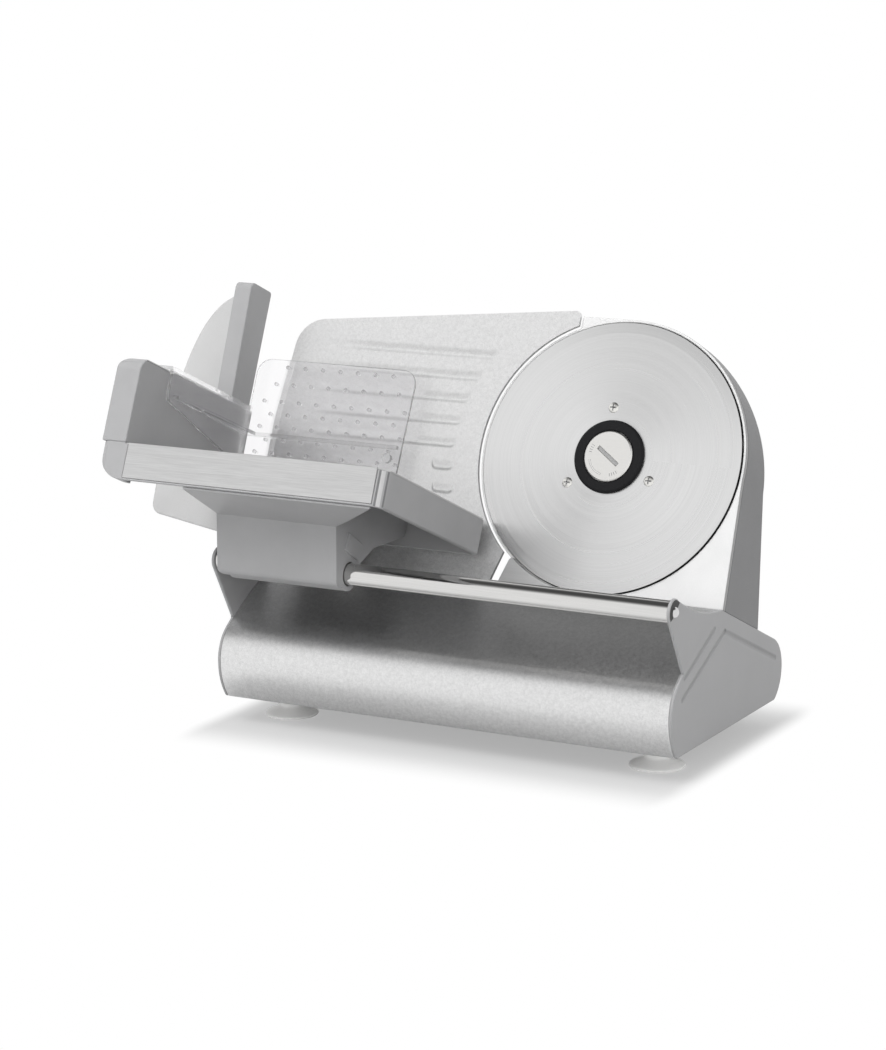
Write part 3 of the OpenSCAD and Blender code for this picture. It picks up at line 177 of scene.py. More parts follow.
class Finish(Wiring):
    """A material being made: one Principled shader and the nodes that feed it."""

    def __init__(self, name, colour, metallic=0.0, rough=0.5, **sockets):
        self.material = bpy.data.materials.new(name)
        self.material.use_nodes = True
        super().__init__(self.material.node_tree)
        self.shader = self.node("ShaderNodeBsdfPrincipled")
        self.node("ShaderNodeOutputMaterial", {0: self.shader.outputs[0]})
        self.set("Base Color", (*colour, 1))
        self.set("Metallic", metallic)
        self.set("Roughness", rough)
        self.colour = colour
        for socket, value in sockets.items():
            self.set(socket.replace("_", " "), value)

    def set(self, socket, value):
        self.shader.inputs[socket].default_value = value

    def place(self, stretch=(1, 1, 1)):
        """Object coordinates, stretched."""
        return self.vector("MULTIPLY", self.node("ShaderNodeTexCoord").outputs["Object"], stretch)

    def noise(self, vector, scale, detail=3.0, rough=0.5):
        return self.node("ShaderNodeTexNoise", {"Vector": vector, "Scale": scale, "Detail": detail,
                                                "Roughness": rough}).outputs["Fac"]

    def tint(self, value, low, high):
        """Base colour times a factor that runs from low to high with value."""
        dark, pale = ([min(1, c * factor) for c in self.colour] for factor in (low, high))
        mixed = self.node("ShaderNodeMix", {0: self.spread(value, 0, 1), 6: (*dark, 1), 7: (*pale, 1)},
                          data_type="RGBA")
        self.link(mixed.outputs[2], self.shader.inputs["Base Color"])

    def roughen(self, value, low, high):
        self.link(self.spread(value, low, high), self.shader.inputs["Roughness"])

    def bump(self, height, strength, depth):
        made = self.node("ShaderNodeBump", {"Height": height, "Strength": strength, "Distance": depth})
        self.link(made.outputs[0], self.shader.inputs["Normal"])


def grained_metal(name, colour, rough, bump=0.25, metallic=1.0):
    """Stainless sheet with a fine blasted grain."""
    f = Finish(name, colour, metallic, rough)
    where = f.place()
    fine = f.noise(where, 1500, 2.0)
    broad = f.noise(where, 330, 4.0, 0.65)
    f.tint(f.mean(fine, broad), 0.8, 1.15)
    f.roughen(broad, rough - 0.05, rough + 0.06)
    f.bump(fine, bump, 0.2 * MM)
    return f.material


def brushed_metal(name, colour, rough):
    """Metal brushed along X, with long fine scratches."""
    f = Finish(name, colour, 1.0, rough)
    where = f.place((0.02, 1, 1))
    lines = f.noise(where, 2200, 4.0, 0.6)
    broad = f.noise(where, 300, 2.0)
    f.tint(lines, 0.88, 1.08)
    f.roughen(broad, rough - 0.05, rough + 0.08)
    f.bump(lines, 0.12, 0.1 * MM)
    return f.material


def satin_metal(name, colour, rough):
    """Smooth pale metal with a soft sheen and only a trace of brushing along X."""
    f = Finish(name, colour, 1.0, rough)
    lines = f.noise(f.place((0.02, 1, 1)), 700, 3.0)
    f.tint(lines, 0.97, 1.02)
    f.roughen(lines, rough - 0.03, rough + 0.03)
    f.bump(lines, 0.05, 0.05 * MM)
    return f.material


def turned_metal(name, colour, rough):
    """Blade steel turned on a lathe: fine rings, and a highlight that fans out from the hub."""
    f = Finish(name, colour, 1.0, rough)
    f.set("Anisotropic", 0.75)
    f.set("Anisotropic Rotation", 0.25)
    f.link(f.node("ShaderNodeTangent", direction_type="UV_MAP", uv_map="turned").outputs[0],
           f.shader.inputs["Tangent"])
    rings = f.node("ShaderNodeUVMap", uv_map="turned").outputs[0]
    fine = f.noise(f.vector("MULTIPLY", rings, (0.4, 1400, 1)), 1.0, 5.0, 0.7)
    wide = f.noise(f.vector("MULTIPLY", rings, (1.5, 160, 1)), 1.0, 3.0)
    f.tint(f.mean(fine, wide), 0.88, 1.08)
    f.roughen(wide, rough - 0.05, rough + 0.07)
    f.bump(fine, 0.1, 0.05 * MM)
    return f.material


def moulded_plastic(name, colour, rough, grain=1.0, bump=0.12, **sockets):
    """Moulded plastic with a fine eroded texture and slight tone changes."""
    f = Finish(name, colour, 0.0, rough, **sockets)
    where = f.place()
    fine = f.noise(where, 2600 / grain, 2.0)
    broad = f.noise(where, 28, 4.0, 0.55)
    f.tint(broad, 0.955, 1.04)
    f.roughen(fine, rough - 0.06, rough + 0.06)
    f.bump(fine, bump, 0.15 * MM)
    return f.material


# Lines pressed into the end caps, as (y, z) points in metres from the part's origin
FOLDS = (((-0.0625, 0.0645), (0.0175, 0.1007)), ((0.0175, 0.1007), (0.1230, 0.0562)),
         ((-0.0585, 0.0802), (-0.0025, 0.1067)))


def folded_plastic(name, colour, rough, width=2.6 * MM, depth=1.1 * MM):
    """Moulded cap plastic with wide soft lines pressed into its outer face, darkened by painted shade."""
    f = Finish(name, colour, 0.0, rough)
    where = f.place()
    fine = f.noise(where, 2600, 2.0)
    tone = f.spread(f.noise(where, 28, 4.0, 0.55), 0.58, 0.7, 0.0, 1.0)
    f.roughen(fine, rough - 0.06, rough + 0.06)
    flat = f.vector("MULTIPLY", where, (0, 1, 1))
    height = f.math("MULTIPLY", fine, 0.02 * MM)
    for start, end in FOLDS:
        a, b = Vector((0, *start)), Vector((0, *end))
        line = (b - a) / (b - a).length_squared
        off = f.vector("SUBTRACT", flat, a)
        share = f.node("ShaderNodeClamp", {"Value": f.vector("DOT_PRODUCT", off, line, "Value")}).outputs[0]
        foot = f.node("ShaderNodeVectorMath", {0: b - a, "Scale": share}, operation="SCALE").outputs[0]
        gap = f.vector("DISTANCE", off, foot, "Value")
        dent = f.spread(gap, -depth, 0.0, 0.0, width, "SMOOTHSTEP")
        height = f.math("ADD", height, dent)
        # Painted shade: the tone drops by up to 0.22 inside each pressed line.
        tone = f.math("ADD", tone, f.spread(dent, -0.22, 0.0, -depth, 0.0))
    f.tint(tone, 0.7, 1.1)
    f.bump(height, 1.0, 1.0)
    return f.material


def polished_metal(name, colour, rough):
    """Smooth plated metal with a few faint draw lines along X."""
    f = Finish(name, colour, 1.0, rough)
    lines = f.noise(f.place((0.03, 1, 1)), 900, 3.0)
    f.tint(lines, 0.96, 1.02)
    f.roughen(lines, rough * 0.7, rough * 1.4)
    f.bump(lines, 0.03, 0.05 * MM)
    return f.material


def clear_plastic(name, colour, bend, alpha):
    """Clear moulded acrylic with faint flow marks."""
    f = Finish(name, colour, 0.0, 0.03, IOR=bend, Alpha=alpha)
    f.set("Transmission Weight", 1.0)
    flow = f.noise(f.place((1, 0.5, 1)), 60, 3.0)
    f.roughen(flow, 0.015, 0.06)
    f.bump(flow, 0.04, 0.2 * MM)
    return f.material


def cast_metal(name, colour, rough, metallic=1.0, grain=420):
    """Rough cast or wound surfaces inside the drive."""
    f = Finish(name, colour, metallic, rough)
    lumps = f.noise(f.place(), grain, 5.0, 0.6)
    f.tint(lumps, 0.8, 1.12)
    f.roughen(lumps, rough - 0.08, rough + 0.1)
    f.bump(lumps, 0.2, 0.3 * MM)
    return f.material


def make_finishes(c):
    """One finish for each material slot of the record."""
    return {
        "grained_steel": grained_metal("Grained steel", c.sheet, 0.34),
        "gauge_metal": grained_metal("Blasted gauge metal", c.gauge, 0.42, 0.3, 0.88),
        "pale_metal": satin_metal("Pale satin metal", (0.80, 0.80, 0.80), 0.4),
        "pale_paint": moulded_plastic("Pale painted metal", (0.53, 0.53, 0.53), 0.3, 1.0, 0.05),
        "blade_steel": turned_metal("Turned blade steel", c.blade, 0.3),
        "lock_metal": satin_metal("Lock metal", (0.84, 0.83, 0.81), 0.38),
        "chrome": polished_metal("Chrome", (0.70, 0.695, 0.685), 0.08),
        "grey_plastic": moulded_plastic("Grey plastic", c.grey, 0.48),
        "silver_paint": moulded_plastic("Silver paint", c.silver, 0.4, 1.6, 0.1),
        "white_polish": moulded_plastic("White plate", c.white, 0.25, 1.0, 0.03),
        # The feet's rubber glows faintly: painted light that lifts the feet out of the shade under the base.
        "white_rubber": moulded_plastic("White rubber", c.rubber, 0.5, Emission_Color=(1, 1, 0.98, 1),
                                        Emission_Strength=0.16),
        "black_plastic": moulded_plastic("Black plastic", c.black, 0.42, Specular_IOR_Level=0.1),
        "clear": clear_plastic("Clear plastic", c.clear, 1.4, 0.78),
        # A darker copy of the clear plastic: painted shade for the dark lines that the pusher's edges show.
        "clear_edge_shade": clear_plastic("Clear plastic edge", [0.68 * part for part in c.clear], 1.4, 0.92),
        "clear_top": clear_plastic("Clear plastic top", c.clear, 1.4, 0.35),
        # The nubs' darker tint is painted shade for the dark rims that their round clear ends show.
        "nub": clear_plastic("Clear nub plastic", [0.8 * part for part in c.clear], 1.49, 0.97),
        "cap": folded_plastic("Grey cap plastic", c.grey, 0.48),
        "rod_screw": polished_metal("Dark chrome", (0.66, 0.66, 0.66), 0.1),
        "tray": brushed_metal("Brushed tray steel", (0.66, 0.66, 0.66), 0.36),
        "screw": satin_metal("Pale screw metal", (0.84, 0.83, 0.80), 0.3),
        # This grey serves the lock's print and the rim plate's sides, and is painted shade in the screw crosses and
        # the coin slot.
        "mark": moulded_plastic("Printed grey mark", (0.34, 0.34, 0.34), 0.5),
        "zinc": cast_metal("Zinc plate", (0.66, 0.67, 0.68), 0.3, 1.0, 900),
        "cast_aluminium": cast_metal("Cast aluminium", (0.6, 0.6, 0.61), 0.5),
        "nylon": moulded_plastic("Nylon", (0.72, 0.70, 0.62), 0.45),
        "lamination": cast_metal("Lamination steel", (0.3, 0.3, 0.31), 0.45, 1.0, 900),
        "copper": cast_metal("Copper winding", (0.66, 0.33, 0.18), 0.35, 1.0, 1200),
        # Besides carbon, this finish is painted shade in the gaps round the caps' rod holes and behind the blade's
        # edge.
        "carbon": cast_metal("Carbon", (0.03, 0.03, 0.03), 0.6, 0.0, 900),
    }


FINISHES = {}


def colours():
    return bpy.context.scene.slicer_colours


def sizes():
    return bpy.context.scene.slicer_sizes


def set_object(name, data):
    """A new object in the scene."""
    made = bpy.data.objects.new(name, data)
    bpy.context.scene.collection.objects.link(made)
    return made


def shape_of(node, into=None):
    """A CAD node's mesh as a working shape with joined points and one finish, in the frame whose matrix is given."""
    shape = bmesh.new()
    shape.from_mesh(frame["nodes"][node].data)
    if into is not None:
        shape.transform(into.inverted())
    bmesh.ops.remove_doubles(shape, verts=shape.verts, dist=WELD)
    for face in shape.faces:
        face.material_index = 0
    return shape


def clear_flats(shape):
    """Joins the faces that lie in one plane."""
    bmesh.ops.dissolve_limit(shape, angle_limit=math.radians(0.4), verts=shape.verts, edges=shape.edges)


def shade(shape, sharp):
    """Smooth faces, with the edges past an angle in degrees left sharp."""
    for face in shape.faces:
        face.smooth = True
    for edge in shape.edges:
        edge.smooth = edge.calc_face_angle(0) <= math.radians(sharp)


def mesh_of(shape, name):
    """The working shape as a mesh; the shape goes."""
    mesh = bpy.data.meshes.new(name)
    shape.to_mesh(mesh)
    shape.free()
    return mesh


def settle(obj, nodes=(), body=None):
    """Gives a finished piece its body and hides the CAD nodes it stands for."""
    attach(obj, body or BODY_OF[nodes[0]])
    if nodes:
        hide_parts(*nodes)
    return obj


def plain_copy(obj, name):
    """The object's evaluated shape as a new plain mesh object; the working object goes."""
    depsgraph = bpy.context.evaluated_depsgraph_get()
    mesh = bpy.data.meshes.new_from_object(obj.evaluated_get(depsgraph), depsgraph=depsgraph)
    mesh.name = name
    old = obj.data
    bpy.data.objects.remove(obj)
    bpy.data.meshes.remove(old)
    return set_object(name, mesh)


def skin(name, node, edge=None, sharp=32, finish=None, segments=2, change=None):
    """A smooth skin with rounded edges, cut from a CAD node, that stands in for it."""
    shape = shape_of(node)
    if change:
        change(shape)
    bmesh.ops.dissolve_degenerate(shape, edges=shape.edges, dist=WELD / 2)
    clear_flats(shape)
    shade(shape, sharp)
    mesh = mesh_of(shape, name)
    if "custom_normal" in mesh.attributes:
        mesh.attributes.remove(mesh.attributes["custom_normal"])
    mesh.materials.append(FINISHES[finish or SLOT_OF[node]])
    work = set_object(name + ".work", mesh)
    bevel = work.modifiers.new("Edge", "BEVEL")
    bevel.width = edge or sizes().edge
    bevel.segments = segments
    bevel.limit_method = "ANGLE"
    bevel.angle_limit = math.radians(sharp)
    bevel.use_clamp_overlap = False
    bevel.harden_normals = True
    bevel.miter_outer = "MITER_ARC"
    weight = work.modifiers.new("Shading", "WEIGHTED_NORMAL")
    weight.keep_sharp = True
    weight.weight = 80
    return settle(plain_copy(work, name), [node])


class Tree(Wiring):
    """A geometry node tree with named inputs, ending in Realize Instances and Set Material."""

    def __init__(self, name, **inputs):
        super().__init__(bpy.data.node_groups.new(name, "GeometryNodeTree"))
        sockets = self.tree.interface
        sockets.new_socket("Geometry", in_out="OUTPUT", socket_type="NodeSocketGeometry")
        sockets.new_socket("Geometry", in_out="INPUT", socket_type="NodeSocketGeometry")
        self.ids = {}
        for key, kind in inputs.items():
            made = sockets.new_socket(key.replace("_", " "), in_out="INPUT", socket_type="NodeSocket" + kind)
            self.ids[key] = made.identifier
        self.start = self.node("NodeGroupInput")

    def input(self, key):
        return self.start.outputs[key.replace("_", " ")]

    def copy_to(self, points, geometry, **inputs):
        """A copy of the geometry on each point."""
        return self.node("GeometryNodeInstanceOnPoints",
                         {"Points": points, "Instance": geometry, **inputs}).outputs[0]

    def join(self, *parts):
        """The union of solids."""
        union = self.node("GeometryNodeMeshBoolean", operation="UNION")
        for part in parts:
            self.link(part, union.inputs["Mesh 2"])
        return union.outputs[0]

    def finish(self, geometry):
        real = self.node("GeometryNodeRealizeInstances", {"Geometry": geometry}).outputs[0]
        done = self.node("GeometryNodeSetMaterial", {"Geometry": real, "Material": self.input("Finish")}).outputs[0]
        self.node("NodeGroupOutput", {0: done})
        return self

    def make(self, name, place, points=(), **values):
        """Runs the tree on points and returns the result as a plain piece, set in place."""
        mesh = bpy.data.meshes.new(name)
        mesh.from_pydata(points, [], [])
        work = set_object(name + ".work", mesh)
        modifier = work.modifiers.new("Tree", "NODES")
        modifier.node_group = self.tree
        for key, value in values.items():
            modifier[self.ids[key]] = value
        made = plain_copy(work, name)
        made.data.transform(place)
        return made


# Height of a nub's round end, as a share of its radius
NUB_DOME = 0.4


def nub_tree():
    """Staggered rows of round-ended nubs; the rows between lack their first nub and the top row both end ones."""
    tree = Tree("Nub rows", Columns="Int", Rows="Int", Pitch="Float", Row_pitch="Float", Lower_pitch="Float",
                Radius="Float", Height="Float", Finish="Material")
    last = tree.math("SUBTRACT", tree.input("Columns"), 1)
    across = tree.math("MULTIPLY", tree.input("Pitch"), last)
    up = tree.math("MULTIPLY", tree.input("Row_pitch"), tree.math("SUBTRACT", tree.input("Rows"), 1))
    grid = tree.node("GeometryNodeMeshGrid", {"Size X": across, "Size Y": up, "Vertices X": tree.input("Columns"),
                                              "Vertices Y": tree.input("Rows")})
    place = tree.node("ShaderNodeSeparateXYZ", {0: tree.node("GeometryNodeInputPosition").outputs[0]})
    from_top = tree.math("SUBTRACT", tree.math("MULTIPLY", up, 0.5), place.outputs[1])
    row = tree.math("ROUND", tree.math("DIVIDE", from_top, tree.input("Row_pitch")))
    from_left = tree.math("ADD", tree.math("MULTIPLY", across, 0.5), place.outputs[0])
    column = tree.math("ROUND", tree.math("DIVIDE", from_left, tree.input("Pitch")))
    between = tree.math("MODULO", row, 2.0)
    first = tree.math("LESS_THAN", column, 0.5)
    end = tree.math("GREATER_THAN", column, tree.math("SUBTRACT", last, 0.5))
    top_end = tree.math("MULTIPLY", tree.math("LESS_THAN", row, 0.5), tree.math("MAXIMUM", first, end))
    left_out = tree.math("MAXIMUM", tree.math("MULTIPLY", between, first), top_end)
    shift = tree.math("MULTIPLY", between, tree.math("MULTIPLY", tree.input("Pitch"), -0.5))
    closer = tree.math("SUBTRACT", tree.input("Row_pitch"), tree.input("Lower_pitch"))
    lift = tree.math("MULTIPLY", tree.math("MAXIMUM", tree.math("SUBTRACT", row, 2.0), 0.0), closer)
    kept = tree.node("GeometryNodeCaptureAttribute", {"Geometry": grid.outputs[0]}, domain="POINT")
    kept.capture_items.new("FLOAT", "Left out")
    tree.link(left_out, kept.inputs["Left out"])
    moved = tree.node("GeometryNodeSetPosition", {"Geometry": kept.outputs[0], "Offset": tree.xyz(shift, lift)})
    rest = tree.node("GeometryNodeDeleteGeometry", {"Geometry": moved.outputs[0],
                                                    "Selection": kept.outputs["Left out"]}, domain="POINT")
    peg = tree.node("GeometryNodeMeshCylinder", {"Vertices": 20, "Radius": tree.input("Radius"),
                                                 "Depth": tree.input("Height")})
    tip = tree.node("GeometryNodeMeshUVSphere", {"Segments": 20, "Rings": 10, "Radius": tree.input("Radius")})
    half = tree.xyz(z=tree.math("MULTIPLY", tree.input("Height"), 0.5))
    dome = tree.node("GeometryNodeTransform", {"Geometry": tip.outputs[0], "Translation": half,
                                               "Scale": (1, 1, NUB_DOME)})
    nub = tree.join(peg.outputs[0], dome.outputs[0])
    return tree.finish(tree.copy_to(rest.outputs[0], nub))


# A screw's cross recess: its bars' length and width as shares of the head's radius, their depth of its height
CROSS_LONG, CROSS_WIDE, CROSS_DEEP = 1.25, 0.3, 1.3


def screw_tree():
    """Domed screws with a cross recess and a shank, one on each point, heads up."""
    tree = Tree("Cross screws", Radius="Float", Height="Float", Shank_radius="Float", Shank_length="Float",
                Finish="Material")
    ball = tree.node("GeometryNodeMeshUVSphere", {"Segments": 40, "Rings": 20, "Radius": 1.0})
    radius, height = tree.input("Radius"), tree.input("Height")
    dome = tree.node("GeometryNodeTransform", {"Geometry": ball.outputs[0],
                                               "Scale": tree.xyz(radius, radius, height)})
    bar_long = tree.math("MULTIPLY", radius, CROSS_LONG)
    bar_wide = tree.math("MULTIPLY", radius, CROSS_WIDE)
    bar_deep = tree.math("MULTIPLY", height, CROSS_DEEP)
    raised = tree.xyz(z=height)
    below = tree.xyz(z=tree.math("MULTIPLY", tree.input("Shank_length"), -0.5))
    shank = tree.node("GeometryNodeMeshCylinder", {"Vertices": 24, "Radius": tree.input("Shank_radius"),
                                                   "Depth": tree.input("Shank_length")})
    low = tree.node("GeometryNodeTransform", {"Geometry": shank.outputs[0], "Translation": below})
    screw = tree.join(dome.outputs[0], low.outputs[0])
    for a, b in ((bar_long, bar_wide), (bar_wide, bar_long)):
        bar = tree.node("GeometryNodeMeshCube", {"Size": tree.xyz(a, b, bar_deep)})
        cut = tree.node("GeometryNodeTransform", {"Geometry": bar.outputs[0], "Translation": raised})
        screw = tree.node("GeometryNodeMeshBoolean", {"Mesh 1": screw, "Mesh 2": cut.outputs[0]},
                          operation="DIFFERENCE").outputs[0]
    return tree.finish(tree.copy_to(tree.input("Geometry"), screw))


TICK_RISE = 0.3 * MM


def tick_tree():
    """Short raised marks round a dial, every fifth one longer."""
    tree = Tree("Dial ticks", Count="Int", Radius="Float", Length="Float", Width="Float", Finish="Material")
    ring = tree.node("GeometryNodeMeshCircle", {"Vertices": tree.input("Count"), "Radius": tree.input("Radius")})
    index = tree.node("GeometryNodeInputIndex").outputs[0]
    angle = tree.math("MULTIPLY", tree.math("DIVIDE", index, tree.input("Count")), 2 * math.pi)
    fifth = tree.math("LESS_THAN", tree.math("MODULO", index, 5.0), 0.5)
    stretch = tree.xyz(tree.math("ADD", tree.math("MULTIPLY", fifth, 0.6), 0.7), 1.0, 1.0)
    size = tree.xyz(tree.input("Length"), tree.input("Width"), TICK_RISE)
    mark = tree.node("GeometryNodeMeshCube", {"Size": size}).outputs[0]
    return tree.finish(tree.copy_to(ring.outputs[0], mark, Rotation=tree.xyz(z=angle), Scale=stretch))


def connected(verts):
    """The places of the given points, in groups that edges join."""
    left, groups = set(verts), []
    for start in verts:
        todo, group = [start] if start in left else [], []
        left.discard(start)
        while todo:
            vert = todo.pop()
            group.append(vert.co.copy())
            near = [edge.other_vert(vert) for edge in vert.link_edges]
            todo += [other for other in near if other in left]
            left.difference_update(near)
        if group:
            groups.append(group)
    return groups


def islands(node, into):
    """The points of each separate solid of a CAD node, in the frame whose matrix is given."""
    shape = shape_of(node, into)
    groups = connected(list(shape.verts))
    shape.free()
    return groups


def span(points, axis):
    """The least and the greatest place of points along an axis."""
    values = [p[axis] for p in points]
    return min(values), max(values)


def smooth_by_angle(mesh, degrees):
    """Shades a made piece smooth, with the edges past an angle left sharp."""
    shape = bmesh.new()
    shape.from_mesh(mesh)
    bmesh.ops.remove_doubles(shape, verts=shape.verts, dist=WELD / 2)
    shade(shape, degrees)
    shape.to_mesh(mesh)
    shape.free()


def add_strip(shape, rows):
    """Adds a closed flat strip: rows of four corners, each row a cross-section along it."""
    rings = [[shape.verts.new(p) for p in row] for row in rows]
    for one, two in zip(rings, rings[1:]):
        for i in range(4):
            j = (i + 1) % 4
            shape.faces.new((one[i], one[j], two[j], two[i]))
    shape.faces.new(reversed(rings[0]))
    shape.faces.new(rings[-1])


def arc_rows(radius, width, start, end, level, height, steps=24):
    """Cross-sections of a raised arc round the origin, from one angle to another, in degrees."""
    rows = []
    for i in range(steps + 1):
        angle = math.radians(start + (end - start) * i / steps)
        out = Vector((math.cos(angle), math.sin(angle), 0))
        inner, outer = out * (radius - width / 2), out * (radius + width / 2)
        base, top = Vector((0, 0, level)), Vector((0, 0, level + height))
        rows.append((inner + base, outer + base, outer + top, inner + top))
    return rows


def set_mesh(mesh, place, finish):
    """A piece of a made mesh, set in place."""
    mesh.transform(place)
    mesh.materials.append(FINISHES[finish])
    return set_object(mesh.name, mesh)


def darken(obj, finish, place, chosen):
    """Gives the faces whose middle passes the test another finish."""
    obj.data.materials.append(FINISHES[finish])
    inverse = place.inverted()
    for face in obj.data.polygons:
        if chosen(inverse @ face.center, inverse.to_3x3() @ face.normal):
            face.material_index = len(obj.data.materials) - 1


def plain_side(shape, x):
    """Takes a cap's grooved outer face off and closes it again without the grooves."""
    near = {vert for vert in shape.verts if abs(vert.co.x - x) < MM}
    bmesh.ops.delete(shape, geom=[face for face in shape.faces if near.issuperset(face.verts)], context="FACES")
    rims = [edge for edge in shape.edges if edge.is_boundary]
    bmesh.ops.triangle_fill(shape, use_beauty=True, edges=rims, normal=(math.copysign(1, x), 0, 0))
    bmesh.ops.recalc_face_normals(shape, faces=shape.faces)


class SLICER_OT_finishes(bpy.types.Operator):
    """Make the finishes and give each CAD node the one its slot asks for"""
    bl_idname = "slicer.finishes"
    bl_label = "Finishes"

    def execute(self, context):
        FINISHES.update(make_finishes(colours()))
        for node, obj in frame["nodes"].items():
            obj.data.materials.clear()
            obj.data.materials.append(FINISHES[SLOT_OF[node]])
        return {"FINISHED"}


class SLICER_OT_base(bpy.types.Operator):
    """Dress the base sheet, its end caps, feet and slide rod"""
    bl_idname = "slicer.base"
    bl_label = "Base"

    def execute(self, context):
        skin("base_sheet", "base_shell", sharp=40)
        rod = sum(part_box("slide_rod"), Vector()) / 2
        for side, outer in (("left", 0), ("right", 1)):
            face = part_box("end_cap_" + side)[outer].x
            cap = skin("cap_" + side, "end_cap_" + side, sharp=40, edge=MM, finish="cap", segments=3,
                       change=lambda shape: plain_side(shape, face))
            bore = min((v.co - rod).yz.length for v in cap.data.vertices)
            # Painted shade: a dark ring round each cap's rod hole, for the shade in the gap round the rod screw.
            darken(cap, "carbon", Matrix.Translation(rod), lambda p, n: p.yz.length < bore + 0.7 * MM)
        skin("base_floor", "bottom_plate", sharp=40)
        skin("bright_rod", "slide_rod", edge=0.4 * MM)
        skin("rod_end_screws", "rod_screws", edge=0.3 * MM, finish="rod_screw")
        for side in ("front_left", "front_right", "rear_left", "rear_right"):
            skin("suction_" + side, "foot_" + side, edge=0.4 * MM)
        return {"FINISHED"}


class SLICER_OT_drum(bpy.types.Operator):
    """Dress the housing behind the blade, its rim plate, rear cover and guards"""
    bl_idname = "slicer.drum"
    bl_label = "Drum"

    def execute(self, context):
        skin("drum_skin", "drum_housing", sharp=40)
        plate = skin("rim_plate", "front_plate", edge=0.7 * MM)
        rim = span(islands("front_plate", BLADE)[0], 2)[1]
        blade = max(p.xy.length for p in islands("blade", BLADE)[0])
        # Painted shade: the recess floor behind the blade's edge gets the dark carbon finish, for the shade in the
        # gap.
        darken(plate, "carbon", BLADE, lambda p, n: p.z < rim - 0.8 * MM and n.z > 0.9)
        # The rim plate's side faces past the blade get the darker grey finish.
        darken(plate, "mark", BLADE, lambda p, n: n.z < 0.8 and p.xy.length > blade + 2 * MM)
        skin("rear_cover_skin", "rear_cover", edge=0.4 * MM)
        skin("blade_guard", "lower_guard", edge=0.3 * MM)
        return {"FINISHED"}


# The coin slot's floor lies within this distance of the lock's middle, and the lock's marks at this radius
SLOT_REACH = 14 * MM
LOCK_MARKS = 16.2 * MM


class SLICER_OT_blade(bpy.types.Operator):
    """Dress the blade with turned rings, its hub ring, lock and screws"""
    bl_idname = "slicer.blade"
    bl_label = "Blade"

    def execute(self, context):
        turn_blade()
        skin("hub_collar", "hub_ring", edge=0.6 * MM)
        lock = skin("coin_lock", "blade_lock", edge=0.3 * MM)
        face = span(islands("blade_lock", BLADE)[0], 2)[1]
        # Painted shade: the coin slot's floor gets the darker grey finish, for the shade in the slot.
        darken(lock, "mark", BLADE, lambda p, n: (
            0 < p.z < face - 0.5 * MM and n.z > 0.9 and p.length < SLOT_REACH))
        set_blade_screws()
        set_lock_marks()
        return {"FINISHED"}


def set_blade_screws():
    """Cross-head screws in the places of the CAD screws, with their heads' size."""
    solids = islands("blade_screws", BLADE)
    blade_front = span(islands("blade", BLADE)[0], 2)[1]
    places, head, low, top = [], 0, 0, 0
    for solid in solids:
        (x0, x1), (y0, y1), (z0, z1) = (span(solid, axis) for axis in range(3))
        places.append(((x0 + x1) / 2, (y0 + y1) / 2, blade_front))
        head, low, top = (x1 - x0) / 2, z0, z1
    s = sizes()
    screws = screw_tree().make("blade_cross_screws", BLADE, places, Radius=head, Height=top - blade_front,
                               Shank_radius=s.shank_radius, Shank_length=blade_front - low,
                               Finish=FINISHES["screw"])
    smooth_by_angle(screws.data, 30)

    # Painted shade: the faces inside each cross recess get the darker grey finish, for the shade in the recess.
    def in_shaded_cross(p, n):
        off = min(math.hypot(p.x - x, p.y - y) for x, y, _ in places)
        dome = blade_front + (top - blade_front) * math.sqrt(max(0, 1 - (off / head) ** 2))
        return off < 0.72 * head and blade_front < p.z < dome - 0.15 * MM
    darken(screws, "mark", BLADE, in_shaded_cross)
    settle(screws, ["blade_screws"])


def set_lock_marks():
    """Plain arcs and ticks on the lock's face, without words, for its turn."""
    face = span(islands("blade_lock", BLADE)[0], 2)[1]
    level, rise = face - 0.05 * MM, 0.12 * MM
    shape = bmesh.new()
    for gap in (0, 1.3 * MM):
        add_strip(shape, arc_rows(LOCK_MARKS - gap, 0.3 * MM, 195, 258, level, rise))
    for start in (*range(150, 172, 7), *range(285, 307, 7)):
        add_strip(shape, arc_rows(LOCK_MARKS - 0.6 * MM, 2.6 * MM, start, start + 2.2, level, rise, 2))
    bmesh.ops.recalc_face_normals(shape, faces=shape.faces)
    settle(set_mesh(mesh_of(shape, "lock_marks"), BLADE, "mark"), body="lock")


